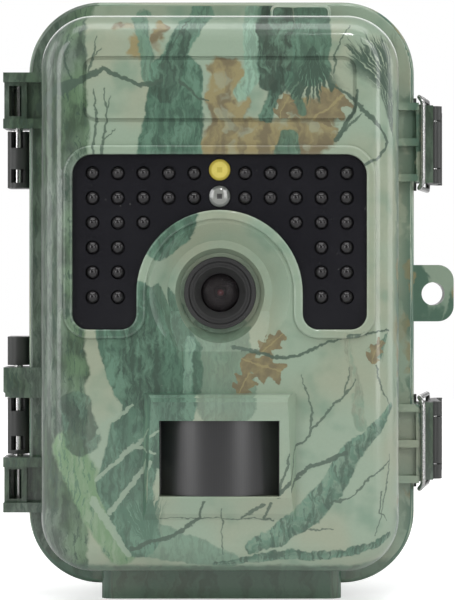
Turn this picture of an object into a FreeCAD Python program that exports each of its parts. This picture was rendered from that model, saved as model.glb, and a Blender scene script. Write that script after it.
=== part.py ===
"""Trail camera: a two-half clamshell case with lens, infrared lamps, motion sensor and side latches.

Frame: +Z up, the camera looks along -Y, origin at the mouth of the tripod thread in the foot.
All sizes are in millimetres.
"""
import FreeCAD, Part
import math
import os

V = FreeCAD.Vector

# ---- driving dimensions -------------------------------------------------------------------
CASE_W, CASE_H, CASE_R = 88.0, 132.8, 16.5      # rim of both halves
CASE_Z = 69.6                                   # height of the case's middle
PART_Y = -12.0                                  # parting plane, rear half's face
DOOR_Y = -12.2                                  # parting plane, front half's face
RIM_T = 5.0                                     # rim thickness, each half
FACE_Y = -42.0                                  # front face
BACK_Y = 18.0                                   # rear face of the case
WALL = 2.2
BASE_W, BASE_H, BASE_R = 81.0, 124.8, 12.5      # case wall where it meets the rim
FRONT_W, FRONT_H, FRONT_R = 78.4, 122.2, 11.5   # case wall at the front face
REAR_W, REAR_H, REAR_R = 76.0, 120.0, 11.0      # case wall at the rear face
FOOT_X, FOOT_FRONT, FOOT_REAR = 27.3, -20.0, 15.0

HINGE_X, HINGE_Y = -46.9, -12.1                 # hinge axis, parallel to Z
PIN_R, KNUCKLE_R = 1.05, 2.45
UPPER_BOX = (106.9, 119.6)                      # hinge knuckles of the front half, low and high Z
LOWER_KNUCKLE = (45.7, 52.6)
LOWER_BOX = (19.7, 32.2)
UPPER_BLOCK = (93.6, 106.6)                     # hinge knuckles of the rear half
LOWER_BLOCK = (32.5, 45.4)
LOWER_CAP = (52.9, 59.4)

LATCHES = {"upper": 103.8, "lower": 35.3}       # latch middles, Z
PIVOT = (49.15, -6.6)                           # lever pivot, X and Y
BAIL_PIVOT = (48.25, 1.0)                       # bail pivot on the lever, X and Y
BAIL_BAR = (45.8, -21.0)                        # bail's front bar, X and Y
BAIL_HALF, WIRE_R = 10.4, 0.55                  # half height of the bail, wire radius
SEAT_HALF = 8.95                                # half height of a latch's seat and hook
LATCH_SCREW_X = 45.6                            # screws that hold a latch's bracket to its seat

WIN_X, WIN_LOW, WIN_HIGH = 32.15, 61.8, 100.0   # lamp window: half width, bottom, top
LENS_Z, ARCH_R = 69.7, 18.3                     # lens centre, arch cut out of the window
BOWL_R, THROAT_R, BOWL_FLOOR = 15.4, 11.6, -38.2  # bowl round the lens: mouth, throat, floor's Y
LED_PITCH_X, LED_PITCH_Z, LED_TOP = 5.58, 5.44, 96.0
LED_R = 1.4
PIR_X, PIR_LOW, PIR_HIGH = 13.1, 25.3, 41.9     # motion sensor opening
LUG = (48.4, 69.3, 2.65)                        # padlock hole: X, Z, radius
FRAME_BACK, FRAME_FRONT = -13.0, -15.0          # inner panel of the front half
CELL_R, CELL_L, CELL_PITCH, CELL_Y = 7.1, 49.2, 14.9, 5.5
CELL_ROWS = (42.0, 97.2)                        # middle heights of the two rows of cells
TRAY_X, TRAY_LOW, TRAY_HIGH = 30.6, 13.6, 125.6
# keys on the inner panel: middle in X and Z, radius
KEYS = {"ok": (0.0, 50.0, 3.8), "up": (0.0, 60.5, 3.0), "down": (0.0, 39.5, 3.0), "left": (-10.5, 50.0, 3.0),
        "right": (10.5, 50.0, 3.0), "menu": (-23.0, 60.5, 3.2), "play": (23.0, 60.5, 3.2)}
FRAME_POSTS = [(x, z) for x in (-33.0, 33.0) for z in (18.0, 55.0, 112.0)]
BRACKET_SCREWS = [(x, CASE_Z + dz) for x in (-13.0, 13.0) for dz in (-28.0, 28.0)]
TRAY_SCREWS = [(x, z) for x in (-33.1, 33.1) for z in (30.0, 109.0)]


# ---- small helpers ------------------------------------------------------------------------
def box(x0, x1, y0, y1, z0, z1):
    return Part.makeBox(x1 - x0, y1 - y0, z1 - z0, V(x0, y0, z0))


def rod_y(x, z, r, y0, y1):
    return Part.makeCylinder(r, y1 - y0, V(x, y0, z), V(0, 1, 0))


def rod_z(x, y, r, z0, z1):
    return Part.makeCylinder(r, z1 - z0, V(x, y, z0), V(0, 0, 1))


def cone_y(x, z, r0, r1, y0, y1):
    return Part.makeCone(r0, r1, y1 - y0, V(x, y0, z), V(0, 1, 0))


def outline(w, h, r, y, cx=0.0, cz=CASE_Z):
    """A rounded rectangle in a plane of constant Y."""
    x, z, k = w / 2 - r, h / 2 - r, r * math.sqrt(0.5)
    edges = []
    for sx, sz, turn in ((1, -1, 0), (1, 1, 1), (-1, 1, 0), (-1, -1, 1)):
        centre = V(cx + sx * x, y, cz + sz * z)
        start = centre + (V(0, 0, sz * r) if turn == 0 else V(sx * r, 0, 0))
        end = centre + (V(sx * r, 0, 0) if turn == 0 else V(0, 0, sz * r))
        edges.append((start, centre + V(sx * k, 0, sz * k), end))
    wire = []
    for (start, middle, end), after in zip(edges, edges[1:] + edges[:1]):
        wire.append(Part.Arc(start, middle, end).toShape())
        if (after[0] - end).Length > 1e-6:
            wire.append(Part.LineSegment(end, after[0]).toShape())
    return Part.Wire(wire)


def slab(w, h, r, y0, y1, cx=0.0, cz=CASE_Z):
    return Part.Face(outline(w, h, r, y0, cx, cz)).extrude(V(0, y1 - y0, 0))


def taper(w0, h0, r0, y0, w1, h1, r1, y1):
    return Part.makeLoft([outline(w0, h0, r0, y0), outline(w1, h1, r1, y1)], True, True)


def edges_at_y(shape, y):
    return [e for e in shape.Edges if abs(e.BoundBox.YMin - y) < 0.01 and abs(e.BoundBox.YMax - y) < 0.01]


def round_at_y(shape, y, r):
    return shape.makeFillet(r, edges_at_y(shape, y))


def upright(shape, x, y, tol=0.05):
    """The edges parallel to Z that pass through X, Y."""
    return [e for e in shape.Edges if abs(e.BoundBox.XMin - x) < tol and abs(e.BoundBox.XMax - x) < tol
            and abs(e.BoundBox.YMin - y) < tol and abs(e.BoundBox.YMax - y) < tol]


def deep_edges(shape, corners, tol=0.05):
    """The edges parallel to Y that pass through one of the X, Z corners."""
    return [e for e in shape.Edges if any(
        abs(e.BoundBox.XMin - x) < tol and abs(e.BoundBox.XMax - x) < tol
        and abs(e.BoundBox.ZMin - z) < tol and abs(e.BoundBox.ZMax - z) < tol for x, z in corners)]


def prism(points, axis, lo, hi):
    """A polygon pushed along Z ("z": X, Y points) or along X ("x": Y, Z points)."""
    place = (lambda p: V(p[0], p[1], lo)) if axis == "z" else (lambda p: V(lo, p[0], p[1]))
    wire = Part.makePolygon([place(p) for p in points + points[:1]])
    return Part.Face(wire).extrude(V(0, 0, hi - lo) if axis == "z" else V(hi - lo, 0, 0))


def fuse(first, *rest):
    return first.fuse(list(rest)).removeSplitter()


def pan_screw(x, z, head_y, head_r, shank_r, length, toward):
    """A cross-head screw along Y: its head's flat at head_y, its shank pointing toward (+1 or -1)."""
    thick = head_r * 0.5
    y0, y1 = sorted((head_y, head_y + toward * thick))
    head = rod_y(x, z, head_r, y0, y1)
    s0, s1 = sorted((head_y + toward * thick * 0.5, head_y + toward * (thick + length)))
    screw = fuse(head, rod_y(x, z, shank_r, s0, s1))
    c0, c1 = sorted((head_y - toward * 0.1, head_y + toward * thick * 0.55))
    arm, slot = head_r * 0.6, head_r * 0.14
    cross = fuse(box(x - arm, x + arm, c0, c1, z - slot, z + slot),
                 box(x - slot, x + slot, c0, c1, z - arm, z + arm))
    return screw.cut(cross)


def window(grow, y0, y1):
    """The inverted U of the lamp window, grown all round, between two planes."""
    x, low, high, arch = WIN_X + grow, WIN_LOW - grow, WIN_HIGH + grow, ARCH_R - grow
    solid = box(-x, x, y0, y1, low, high)
    hole = fuse(rod_y(0, LENS_Z, arch, y0 - 1, y1 + 1), box(-arch, arch, y0 - 1, y1 + 1, low - 5, LENS_Z))
    solid = solid.cut(hole).removeSplitter()
    solid = solid.makeFillet(4.4 + grow, deep_edges(solid, [(-x, high), (x, high)]))
    feet = [(-x, low), (x, low), (-arch, low), (arch, low)]
    return solid.makeFillet(3.4 + grow, deep_edges(solid, feet))


def led_places():
    """Lamp centres in X, Z: two full rows, one of six and three of four, with the middle column left out."""
    places = []
    for row in range(6):
        keep = {0: (1, 5), 1: (1, 5), 2: (3, 5)}.get(row, (4, 5))
        for i in range(keep[0], keep[1] + 1):
            places += [(side * i * LED_PITCH_X, LED_TOP - row * LED_PITCH_Z) for side in (-1, 1)]
    return places


# ---- front half ---------------------------------------------------------------------------
def hinge_box(low, high):
    """A hinge knuckle of the front half with a window that shows the pin, and ribs across the rim."""
    left, right = HINGE_X - 2.6, -44.4
    body = fuse(box(left, right, -18.6, HINGE_Y, low, high), rod_z(HINGE_X, HINGE_Y, KNUCKLE_R, low, high),
                box(right - 0.2, -43.0, -17.0, DOOR_Y, low, high),
                *[box(left, -39.6, -21.2, -16.8, z, z + 2.2) for z in (low, high - 2.2)])
    body = body.cut(box(left + 1.1, right - 1.2, -22.0, HINGE_Y + 0.4, low + 2.9, high - 2.9))
    return body.cut(rod_z(HINGE_X, HINGE_Y, PIN_R + 0.1, low - 1, high + 1))


def hinge_knuckle(low, high):
    """The solid knuckle of the front half, chamfered at its lower outer corner."""
    left = HINGE_X - 2.6
    body = fuse(box(left, -39.6, -20.4, -16.8, low, high), box(left, -44.3, -17.0, HINGE_Y, low, high),
                box(-44.5, -43.0, -17.0, DOOR_Y, low, high), rod_z(HINGE_X, HINGE_Y, KNUCKLE_R, low, high))
    corner = Part.Face(Part.makePolygon([V(left - 1, -21, low - 1), V(left + 2.4, -21, low - 1),
                                         V(left - 1, -21, low + 2.4), V(left - 1, -21, low - 1)]))
    body = body.cut(corner.extrude(V(0, 4.5, 0)))
    return body.cut(rod_z(HINGE_X, HINGE_Y, PIN_R + 0.1, low - 1, high + 1))


def latch_hook(z):
    """Three ribs beside the case with an upright lip that the bail pulls on."""
    ribs = [box(39.2, 44.9, -21.0, -16.8, z + dz - 0.85, z + dz + 0.85) for dz in (-8.1, 0.0, 8.1)]
    lip = box(44.3, 46.1, -20.3, -18.2, z - 8.6, z + 8.6)
    web = box(39.2, 44.5, -18.6, -16.8, z - 8.5, z + 8.5)
    return fuse(lip, web, *ribs)


def lug(y0, y1):
    """The padlock ear at the right edge."""
    x, z, r = LUG
    ear = box(42.0, 53.1, y0, y1, 63.0, 75.9)
    ear = ear.makeFillet(3.6, deep_edges(ear, [(53.1, 63.0), (53.1, 75.9)]))
    return ear.cut(rod_y(x, z, r, y0 - 1, y1 + 1))


def pir_hood():
    """The raised surround of the motion sensor, deepest at its top edge like an awning, with sloping sides."""
    side = [(-40.5, 47.9), (-45.0, 47.5), (-45.9, 46.9), (-46.2, 46.0), (-45.6, 42.2), (-44.6, 30.0), (-44.2, 25.0),
            (-43.0, 21.4), (-40.5, 18.0)]
    plan = [(-17.4, -40.5), (-14.7, -46.5), (14.7, -46.5), (17.4, -40.5)]
    block = prism(side, "x", -18.0, 18.0).common(prism(plan, "z", 17.0, 49.0)).removeSplitter()
    return block.cut(box(-PIR_X, PIR_X, -50, -38, PIR_LOW, PIR_HIGH))


def lens_bowl():
    """The air in front of the lens: a bowl that is deep above and runs out to the face below, then a funnel."""
    bowl = cone_y(0, LENS_Z, BOWL_R, THROAT_R, FACE_Y, BOWL_FLOOR)
    ramp = [(FACE_Y - 1.0, LENS_Z - BOWL_R + 0.6), (FACE_Y, LENS_Z - BOWL_R + 2.6), (BOWL_FLOOR, LENS_Z - 4.0),
            (BOWL_FLOOR + 1.0, LENS_Z - 4.0), (BOWL_FLOOR + 1.0, LENS_Z - 20.0), (FACE_Y - 1.0, LENS_Z - 20.0)]
    bowl = bowl.cut(prism(ramp, "x", -20.0, 20.0))
    funnel = cone_y(0, LENS_Z, THROAT_R - 0.2, 8.9, FACE_Y - 0.3, -35.6)
    return fuse(bowl, funnel, rod_y(0, LENS_Z, 8.0, -36, -30))


def front_housing():
    shell = round_at_y(taper(FRONT_W, FRONT_H, FRONT_R, FACE_Y, BASE_W, BASE_H, BASE_R, -16.9), FACE_Y, 6.0)
    rim = round_at_y(slab(CASE_W, CASE_H, CASE_R, DOOR_Y - RIM_T + 0.2, DOOR_Y), DOOR_Y - RIM_T + 0.2, 0.9)
    step = slab(82.4, 126.2, 13.2, -18.0, -16.9)
    foot = box(-FOOT_X, FOOT_X, FOOT_FRONT, DOOR_Y, 0.0, 9.5)
    foot = foot.makeFillet(2.6, upright(foot, -FOOT_X, FOOT_FRONT) + upright(foot, FOOT_X, FOOT_FRONT))
    boss = slab(13.8, 12.0, 1.6, -24.5, -18.0, cx=18.0, cz=128.7)
    boss = round_at_y(boss, -24.5, 0.8)
    shell = fuse(shell, rim, step, foot, boss)
    hollow = taper(74.0, 117.8, 9.5, FACE_Y + WALL, 76.4, 120.2, 10.4, DOOR_Y + 1)
    hollow = round_at_y(hollow, FACE_Y + WALL, 3.6)
    shell = shell.cut(hollow)
    bead = window(2.1, -42.9, -40.6).cut(window(0.0, -44, -39))
    bead = round_at_y(bead, -42.9, 0.55)
    lens_boss = rod_y(0, LENS_Z, 17.0, -41.0, -33.0)
    posts = [rod_y(x, z, 2.6, FACE_Y + WALL - 0.6, FRAME_FRONT) for x, z in FRAME_POSTS]
    shell = fuse(shell, bead, lens_boss, pir_hood(), lug(-16.6, DOOR_Y), hinge_box(*UPPER_BOX),
                 hinge_box(*LOWER_BOX), hinge_knuckle(*LOWER_KNUCKLE), *posts,
                 *[latch_hook(z) for z in LATCHES.values()])
    groove = slab(60.0, 14.4, 3.0, FACE_Y - 1, FACE_Y + 0.55, cz=114.4).cut(
        slab(58.4, 12.8, 2.2, FACE_Y - 2, FACE_Y + 2, cz=114.4))
    shell = shell.cut(window(0.1, -50, -38)).cut(lens_bowl()).cut(groove)
    shell = shell.cut(box(-PIR_X, PIR_X, -50, -38, PIR_LOW, PIR_HIGH)).cut(rod_z(18.0, -21.5, 0.5, 120, 140))
    return shell.cut(Part.makeCompound([rod_y(x, z, 1.05, -26, -14) for x, z in FRAME_POSTS]))


def ir_window():
    """Smoked panel with a hole for every lamp, and a lip behind the case wall that keeps it in."""
    panel = fuse(window(0.0, -41.3, -39.7), window(0.9, -39.7, -38.6))
    holes = [rod_y(x, z, LED_R + 0.15, -50, -30) for x, z in led_places()]
    holes += [rod_y(0, z, 2.45, -50, -30) for z in (96.7, 90.9)]
    return panel.cut(Part.makeCompound(holes))


def ir_leds():
    leds = []
    for x, z in led_places():
        leds.append(fuse(rod_y(x, z, LED_R, -40.7, -37.05), Part.makeSphere(LED_R, V(x, -40.7, z)),
                         rod_y(x, z, LED_R + 0.35, -38.0, -37.05)))
    return leds


def led_board():
    return [window(-0.6, -37.0, -35.6).cut(Part.makeCompound(
        [rod_y(side * 29.5, 66.0, 1.1, -40, -30) for side in (-1, 1)]))]


def lamp(z, dome):
    body = rod_y(0, z, 2.3, -41.7, -37.05)
    if dome:
        cap = Part.makeSphere(5.2, V(0, -37.1, z)).common(rod_y(0, z, 2.3, -43, -41.6))
        body = fuse(body, cap)
    return fuse(body, rod_y(0, z, 2.7, -38.0, -37.05))


def lens_bezel():
    profile = [(4.3, -34.9), (5.7, -36.5), (6.3, -36.5), (6.3, -37.0), (6.7, -37.0), (6.7, -36.6), (7.0, -36.6),
               (7.0, -37.4), (7.9, -37.4), (7.9, -33.4), (4.3, -33.4)]
    wire = Part.makePolygon([V(r, y, LENS_Z) for r, y in profile + profile[:1]])
    return Part.Face(wire).revolve(V(0, 0, LENS_Z), V(0, 1, 0), 360)


def lens_glass():
    sphere_r, apex = 9.0, -35.7
    dome = Part.makeSphere(sphere_r, V(0, apex + sphere_r, LENS_Z))
    return dome.common(rod_y(0, LENS_Z, 4.2, apex - 1, -33.5))


def lens_barrel():
    tube = fuse(rod_y(0, LENS_Z, 6.0, -33.3, -27.0), rod_y(0, LENS_Z, 7.4, -33.3, -32.3))
    return tube.cut(rod_y(0, LENS_Z, 4.2, -34, -26))


def lens_holder():
    body = fuse(box(-8.0, 8.0, -27.0, -24.1, LENS_Z - 8, LENS_Z + 8), rod_y(0, LENS_Z, 7.5, -31.0, -26.9))
    body = body.cut(rod_y(0, LENS_Z, 6.02, -32, -26.99))
    return body.cut(box(-5.5, 5.5, -28, -23, LENS_Z - 5.5, LENS_Z + 5.5))


def pir_lens():
    """A fine-ribbed window bent about a vertical axis, closed at top and bottom, with side wings that hold it."""
    radius, apex, low, high = 20.0, -44.3, PIR_LOW + 0.1, PIR_HIGH - 0.1
    axis_y = apex + radius
    drum = rod_z(0, axis_y, radius, low, high)
    skin = drum.cut(rod_z(0, axis_y, radius - 0.9, low + 0.9, high - 0.9))
    skin = skin.common(box(-PIR_X + 0.1, PIR_X - 0.1, -50, -38.7, low, high))
    wings = [box(left, left + 2.0, -39.7, -38.7, low - 0.8, high + 0.8) for left in (-14.9, 12.9)]
    return fuse(skin, *wings)


def pir_sensor():
    can = fuse(rod_y(0, 33.6, 4.1, -31.0, -27.0), rod_y(0, 33.6, 4.6, -27.4, -26.8))
    pins = [rod_y(2.0 * math.cos(a), 33.6 + 2.0 * math.sin(a), 0.25, -26.9, -24.05) for a in (0.5, 2.6, 4.7)]
    return fuse(can, *pins)


def main_board():
    board = box(-30.0, 30.0, -24.0, -22.4, 16.0, 119.0)
    board = board.cut(box(14.0, 31.0, -25, -21, 28.0, 50.0))
    chips = [box(-14, -2, -22.4, -21.0, 72, 84), box(6, 15, -22.4, -21.2, 76, 83),
             box(-24, -18, -22.4, -21.0, 96, 104), box(10, 22, -22.4, -20.6, 96, 102),
             rod_y(-22, 84, 3.0, -22.4, -20.0)]
    return [board, *chips]


def inner_frame():
    """The flat panel that closes the front half, with openings for screen, keys, switch, card and port."""
    plate = slab(75.4, 119.2, 9.9, FRAME_FRONT, FRAME_BACK)
    plate = plate.cut(box(-26.1, 26.1, -14.1, -12, 72.9, 113.1)).cut(box(-24.0, 24.0, -16, -12, 74.9, 111.1))
    holes = [rod_y(x, z, r + 0.2, -16, -12) for x, z, r in KEYS.values()]
    holes += [box(-24.8, -21.2, -16, -12, 36.0, 48.0), box(16.9, 29.1, -16, -12, 43.1, 44.9),
              box(18.9, 27.1, -16, -12, 32.1, 35.9)]
    holes += [rod_y(x, z, 1.1, -16, -12) for x, z in FRAME_POSTS]
    holes += [rod_y(x, z, 2.2, -14.0, -12) for x, z in FRAME_POSTS]
    holes += [rod_y(2.6 * i, 22.0 + 2.6 * j, 0.6, -16, -12) for i in (-1, 0, 1) for j in (-1, 0, 1)]
    holes += [rod_y(x, 15.4, 1.3, -16, -12) for x in (-16, 16)]
    return plate.cut(Part.makeCompound(holes))


def key(x, z, r):
    cap = rod_y(x, z, r, -15.6, -11.7)
    cap = round_at_y(cap, -11.7, 0.5)
    return fuse(cap, rod_y(x, z, r + 0.7, -16.2, -15.1))


def keypad_board():
    board = fuse(box(-30.0, 30.0, -19.8, -18.6, 52.0, 67.0), box(-30.0, 14.0, -19.8, -18.6, 33.0, 52.0))
    switches = [box(x - 2.2, x + 2.2, -18.6, -16.9, z - 2.2, z + 2.2) for x, z, _ in KEYS.values()]
    return [board, *switches, box(-25.5, -20.5, -18.6, -16.4, 35.5, 48.5)]


def mode_switch():
    stem = box(-24.3, -21.7, -15.6, -11.8, 36.4, 40.4)
    stem = stem.makeFillet(0.5, edges_at_y(stem, -11.8))
    return fuse(stem, box(-25.6, -20.4, -16.2, -15.1, 35.6, 41.2))


def card_slot():
    return box(15.6, 30.0, -29.6, -15.1, 42.2, 45.8).cut(box(17.2, 28.8, -28.6, -14, 43.2, 44.8))


def memory_card():
    card = box(17.5, 28.5, -27.6, -12.4, 43.5, 44.5)
    return card.cut(box(17.0, 18.3, -22.0, -19.0, 43, 45))


def usb_port():
    shell = box(19.0, 27.0, -22.0, -13.3, 32.2, 35.8).cut(box(19.5, 26.5, -21, -13, 32.7, 35.3))
    return fuse(shell, box(20.5, 25.5, -21.2, -15.0, 33.7, 34.3))


# ---- rear half ----------------------------------------------------------------------------
def rear_case():
    rim = slab(CASE_W, CASE_H, CASE_R, PART_Y, PART_Y + RIM_T)
    rim = round_at_y(rim, PART_Y + RIM_T, 0.9)
    body = taper(BASE_W, BASE_H, BASE_R, PART_Y + RIM_T - 0.2, REAR_W, REAR_H, REAR_R, BACK_Y)
    body = round_at_y(body, BACK_Y, 4.5)
    foot = box(-FOOT_X, FOOT_X, PART_Y, FOOT_REAR, 0.0, 11.5)
    foot = foot.makeFillet(3.0, upright(foot, -FOOT_X, FOOT_REAR) + upright(foot, FOOT_X, FOOT_REAR))
    seats = [box(43.0, 48.7, -11.6, -9.2, z - SEAT_HALF, z + SEAT_HALF) for z in LATCHES.values()]
    case = fuse(rim, body, foot, lug(PART_Y, -8.0), *seats)
    case = case.cut(taper(76.4, 120.2, 10.4, PART_Y - 1, 71.4, 115.4, 8.6, 15.6))
    pads = [box(x - 2.3, x + 2.3, 14.85, 16.0, z - 3.0, z + 3.0) for x, z in TRAY_SCREWS]
    case = fuse(case, *pads)
    seal = slab(84.2, 129.0, 14.6, PART_Y - 1, -10.4).cut(slab(81.2, 126.0, 13.1, PART_Y - 2, -10))
    holes = [rod_y(x, z, 1.05, 10, 17.2) for x, z in TRAY_SCREWS]
    holes += [rod_y(x, z, 1.35, 15, 19) for x, z in BRACKET_SCREWS]
    holes += [rod_y(LATCH_SCREW_X, z + dz, 0.75, -11.0, -9.0) for z in LATCHES.values() for dz in (-3.6, 3.6)]
    case = case.cut(seal).cut(rod_z(0, 0, 4.02, -1, 8.0)).cut(rod_z(0, 0, 5.0, -1, 0.8))
    return case.cut(Part.makeCompound(holes))


def door_seal():
    ring = slab(84.1, 128.9, 14.5, -12.15, -10.45).cut(slab(81.3, 126.1, 13.2, -14, -9))
    return ring.makeFillet(0.45, edges_at_y(ring, -12.15))


def tripod_insert():
    collar = fuse(rod_z(0, 0, 4.0, 0.0, 7.9), rod_z(0, 0, 4.95, 0.0, 0.75))
    return collar.cut(rod_z(0, 0, 2.6, -1, 9))


def hinge_block(low, high, windows):
    """A black knuckle of the rear half: a barrel round the pin and an arm that wraps behind the rim."""
    left = HINGE_X - KNUCKLE_R
    barrel = rod_z(HINGE_X, HINGE_Y, KNUCKLE_R, low, high)
    arm = fuse(box(left, -44.1, HINGE_Y, -4.2, low, high), box(left, -41.1, -6.9, -4.2, low, high))
    body = fuse(barrel, arm).cut(rod_z(HINGE_X, HINGE_Y, PIN_R + 0.02, low - 1, high + 1))
    for w0, w1 in windows:
        body = body.cut(box(left + 1.0, -45.2, -18, HINGE_Y - 0.2, w0, w1))
    return body


def latch_base(z):
    """Black bracket behind the seat, with two ears that hold the lever's pin."""
    x, y = PIVOT
    plate = box(44.15, 47.0, -9.15, -7.9, z - 5.7, z + 5.7)
    tabs = box(44.15, 45.0, -9.15, -7.9, z - 10.7, z + 10.7)
    parts = [plate, tabs]
    for lo, hi in ((z - SEAT_HALF, z - 5.65), (z + 5.65, z + SEAT_HALF)):
        parts += [rod_z(x, y, 1.9, lo, hi), box(44.15, 48.9, -9.15, -5.6, lo, hi)]
    base = fuse(*parts).cut(rod_z(x, y, 0.82, z - 12, z + 12))
    return base.cut(Part.makeCompound([rod_y(LATCH_SCREW_X, z + dz, 0.8, -10, -5) for dz in (-3.6, 3.6)]))


def latch_pin(z):
    return rod_z(PIVOT[0], PIVOT[1], 0.8, z - SEAT_HALF + 0.1, z + SEAT_HALF - 0.1)


def latch_lever(z):
    """Knuckle between the ears, and a long plate behind them that the fingers lift."""
    x, y = PIVOT
    knuckle = rod_z(x, y, 1.85, z - 5.4, z + 5.4)
    neck = box(49.3, 51.0, y, -3.5, z - 5.4, z + 5.4)
    side = [(47.0, -1.0), (49.0, -3.6), (51.0, -3.6), (51.0, 13.0), (52.6, 15.6), (51.6, 16.2), (49.4, 13.6),
            (49.3, 3.4), (47.0, 3.0)]
    plate = prism(side, "z", z - 8.7, z + 8.7)
    lever = fuse(knuckle, neck, plate)
    grips = [box(50.7, 51.5, 5.0 + 2.0 * i, 5.9 + 2.0 * i, z - 6.5, z + 6.5) for i in range(4)]
    lever = fuse(lever, *grips)
    lever = lever.cut(rod_z(x, y, 0.88, z - 12, z + 12))
    return lever.cut(rod_z(BAIL_PIVOT[0], BAIL_PIVOT[1], WIRE_R + 0.07, z - 12, z + 12))


def latch_bail(z):
    """One wire: front bar, two arms, and two stubs that turn inward in the lever's hole."""
    (bx, by), (px, py), r, bend = BAIL_BAR, BAIL_PIVOT, WIRE_R, 1.6
    route = [V(px, py, z - 5.5), V(px, py, z - BAIL_HALF), V(bx - 0.7, by + 1.9, z - BAIL_HALF),
             V(bx, by, z - BAIL_HALF + 1.2), V(bx, by, z + BAIL_HALF - 1.2),
             V(bx - 0.7, by + 1.9, z + BAIL_HALF), V(px, py, z + BAIL_HALF), V(px, py, z + 5.5)]
    edges, at = [], route[0]
    for a, b, c in zip(route, route[1:], route[2:]):
        back, on = (a - b).normalize(), (c - b).normalize()
        turn = math.pi - back.getAngle(on)
        reach = min(bend * math.tan(turn / 2), 0.45 * (b - a).Length, 0.45 * (c - b).Length)
        start, end = b + back * reach, b + on * reach
        radius = reach / math.tan(turn / 2)
        centre = b + (back + on).normalize() * (radius / math.cos(turn / 2))
        edges.append(Part.LineSegment(at, start).toShape())
        edges.append(Part.Arc(start, centre + (b - centre).normalize() * radius, end).toShape())
        at = end
    edges.append(Part.LineSegment(at, route[-1]).toShape())
    ring = Part.Wire([Part.Circle(route[0], V(0, 0, 1), r).toShape()])
    return Part.Wire(edges).makePipeShell([ring], True, True)


def battery_tray():
    tray = box(-TRAY_X, TRAY_X, -1.0, 14.75, TRAY_LOW, TRAY_HIGH)
    ears = [box(min(s * 30.5, s * 35.3), max(s * 30.5, s * 35.3), 11.4, 14.75, z - 3, z + 3)
            for s in (-1, 1) for z in (30.0, 109.0)]
    tray = fuse(tray, *ears)
    for mid in CELL_ROWS:
        low, high = mid - 26.4, mid + 26.4
        for x in cell_columns():
            tray = tray.cut(rod_z(x, CELL_Y, CELL_R + 0.2, low, high))
        tray = tray.cut(box(-TRAY_X + 1.2, TRAY_X - 1.2, -2.0, CELL_Y - 2.0, low, high))
    return tray.cut(Part.makeCompound([rod_y(x, z, 1.1, 10, 16) for x, z in TRAY_SCREWS]))


def cell_columns():
    return [(i - 1.5) * CELL_PITCH for i in range(4)]


def cells():
    """Eight AA cells; neighbours point opposite ways, and the can's crimp leaves a raised button."""
    made = []
    for mid in CELL_ROWS:
        for i, x in enumerate(cell_columns()):
            up = 1 if i % 2 == 0 else -1
            can = rod_z(x, CELL_Y, CELL_R, mid - CELL_L / 2 - 0.4 * up, mid + CELL_L / 2 - 0.4 * up)
            tip = mid + up * (CELL_L / 2 - 0.4)
            nub = rod_z(x, CELL_Y, 2.7, *sorted((tip - 0.2 * up, tip + 1.1 * up)))
            made.append(fuse(can, nub))
    return made


def battery_contacts():
    """A plate against every end wall, one for each end of each cell."""
    plates = []
    for mid in CELL_ROWS:
        for x in cell_columns():
            for end in (mid - 26.35, mid + 26.0):
                plates.append(box(x - 4.6, x + 4.6, 0.6, CELL_Y + 4.4, end, end + 0.35))
    return plates


def battery_springs():
    """Tapered coil springs at the flat end of each cell, as closed cones of the springs' outer shape."""
    made = []
    for mid in CELL_ROWS:
        for i, x in enumerate(cell_columns()):
            up = 1 if i % 2 == 0 else -1
            wall = mid - up * 25.98
            cell_end = mid - up * (CELL_L / 2 + 0.4)
            length = abs(wall - cell_end) - 0.04
            base = V(x, CELL_Y, wall + 0.02 * up)
            made.append(Part.makeCone(4.2, 2.6, length, base, V(0, 0, up)))
    return made


def power_contacts():
    return [rod_y(x, 15.4, 1.8, -1.5, -1.05) for x in (-16, 16)]


def power_pins():
    """Sprung pins of the front half that meet the tray's pads when the case is shut."""
    return [fuse(rod_y(x, 15.4, 1.2, -19.0, -3.4), Part.makeSphere(1.2, V(x, -3.4, 15.4)),
                 rod_y(x, 15.4, 2.0, -19.0, -15.1)) for x in (-16, 16)]


def tree_bracket():
    """Plate on the back with two toothed rails that grip bark, each with a slot for a strap."""
    mid = CASE_Z
    plate = slab(54.0, 72.0, 4.0, BACK_Y + 0.05, BACK_Y + 2.5)
    rails = []
    for side in (-1, 1):
        a, b = sorted((side * 19.0, side * 26.0))
        rail = box(a, b, BACK_Y + 2.0, 29.0, mid - 33, mid + 33)
        teeth = []
        for i in range(11):
            z = mid - 30 + 6 * i
            teeth.append(prism([(26.8, z), (29.5, z - 2.4), (29.5, z + 2.4)], "x", a - 1, b + 1))
        rail = rail.cut(Part.makeCompound(teeth))
        rails.append(rail.cut(box(a - 1, b + 1, BACK_Y + 2.5, 25.3, mid - 13.5, mid + 13.5)))
    bracket = fuse(plate, *rails)
    holes = [rod_y(x, z, 1.35, 17, 22) for x, z in BRACKET_SCREWS]
    holes += [rod_y(x, z, 2.8, 19.3, 22) for x, z in BRACKET_SCREWS]
    return bracket.cut(Part.makeCompound(holes))


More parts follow.
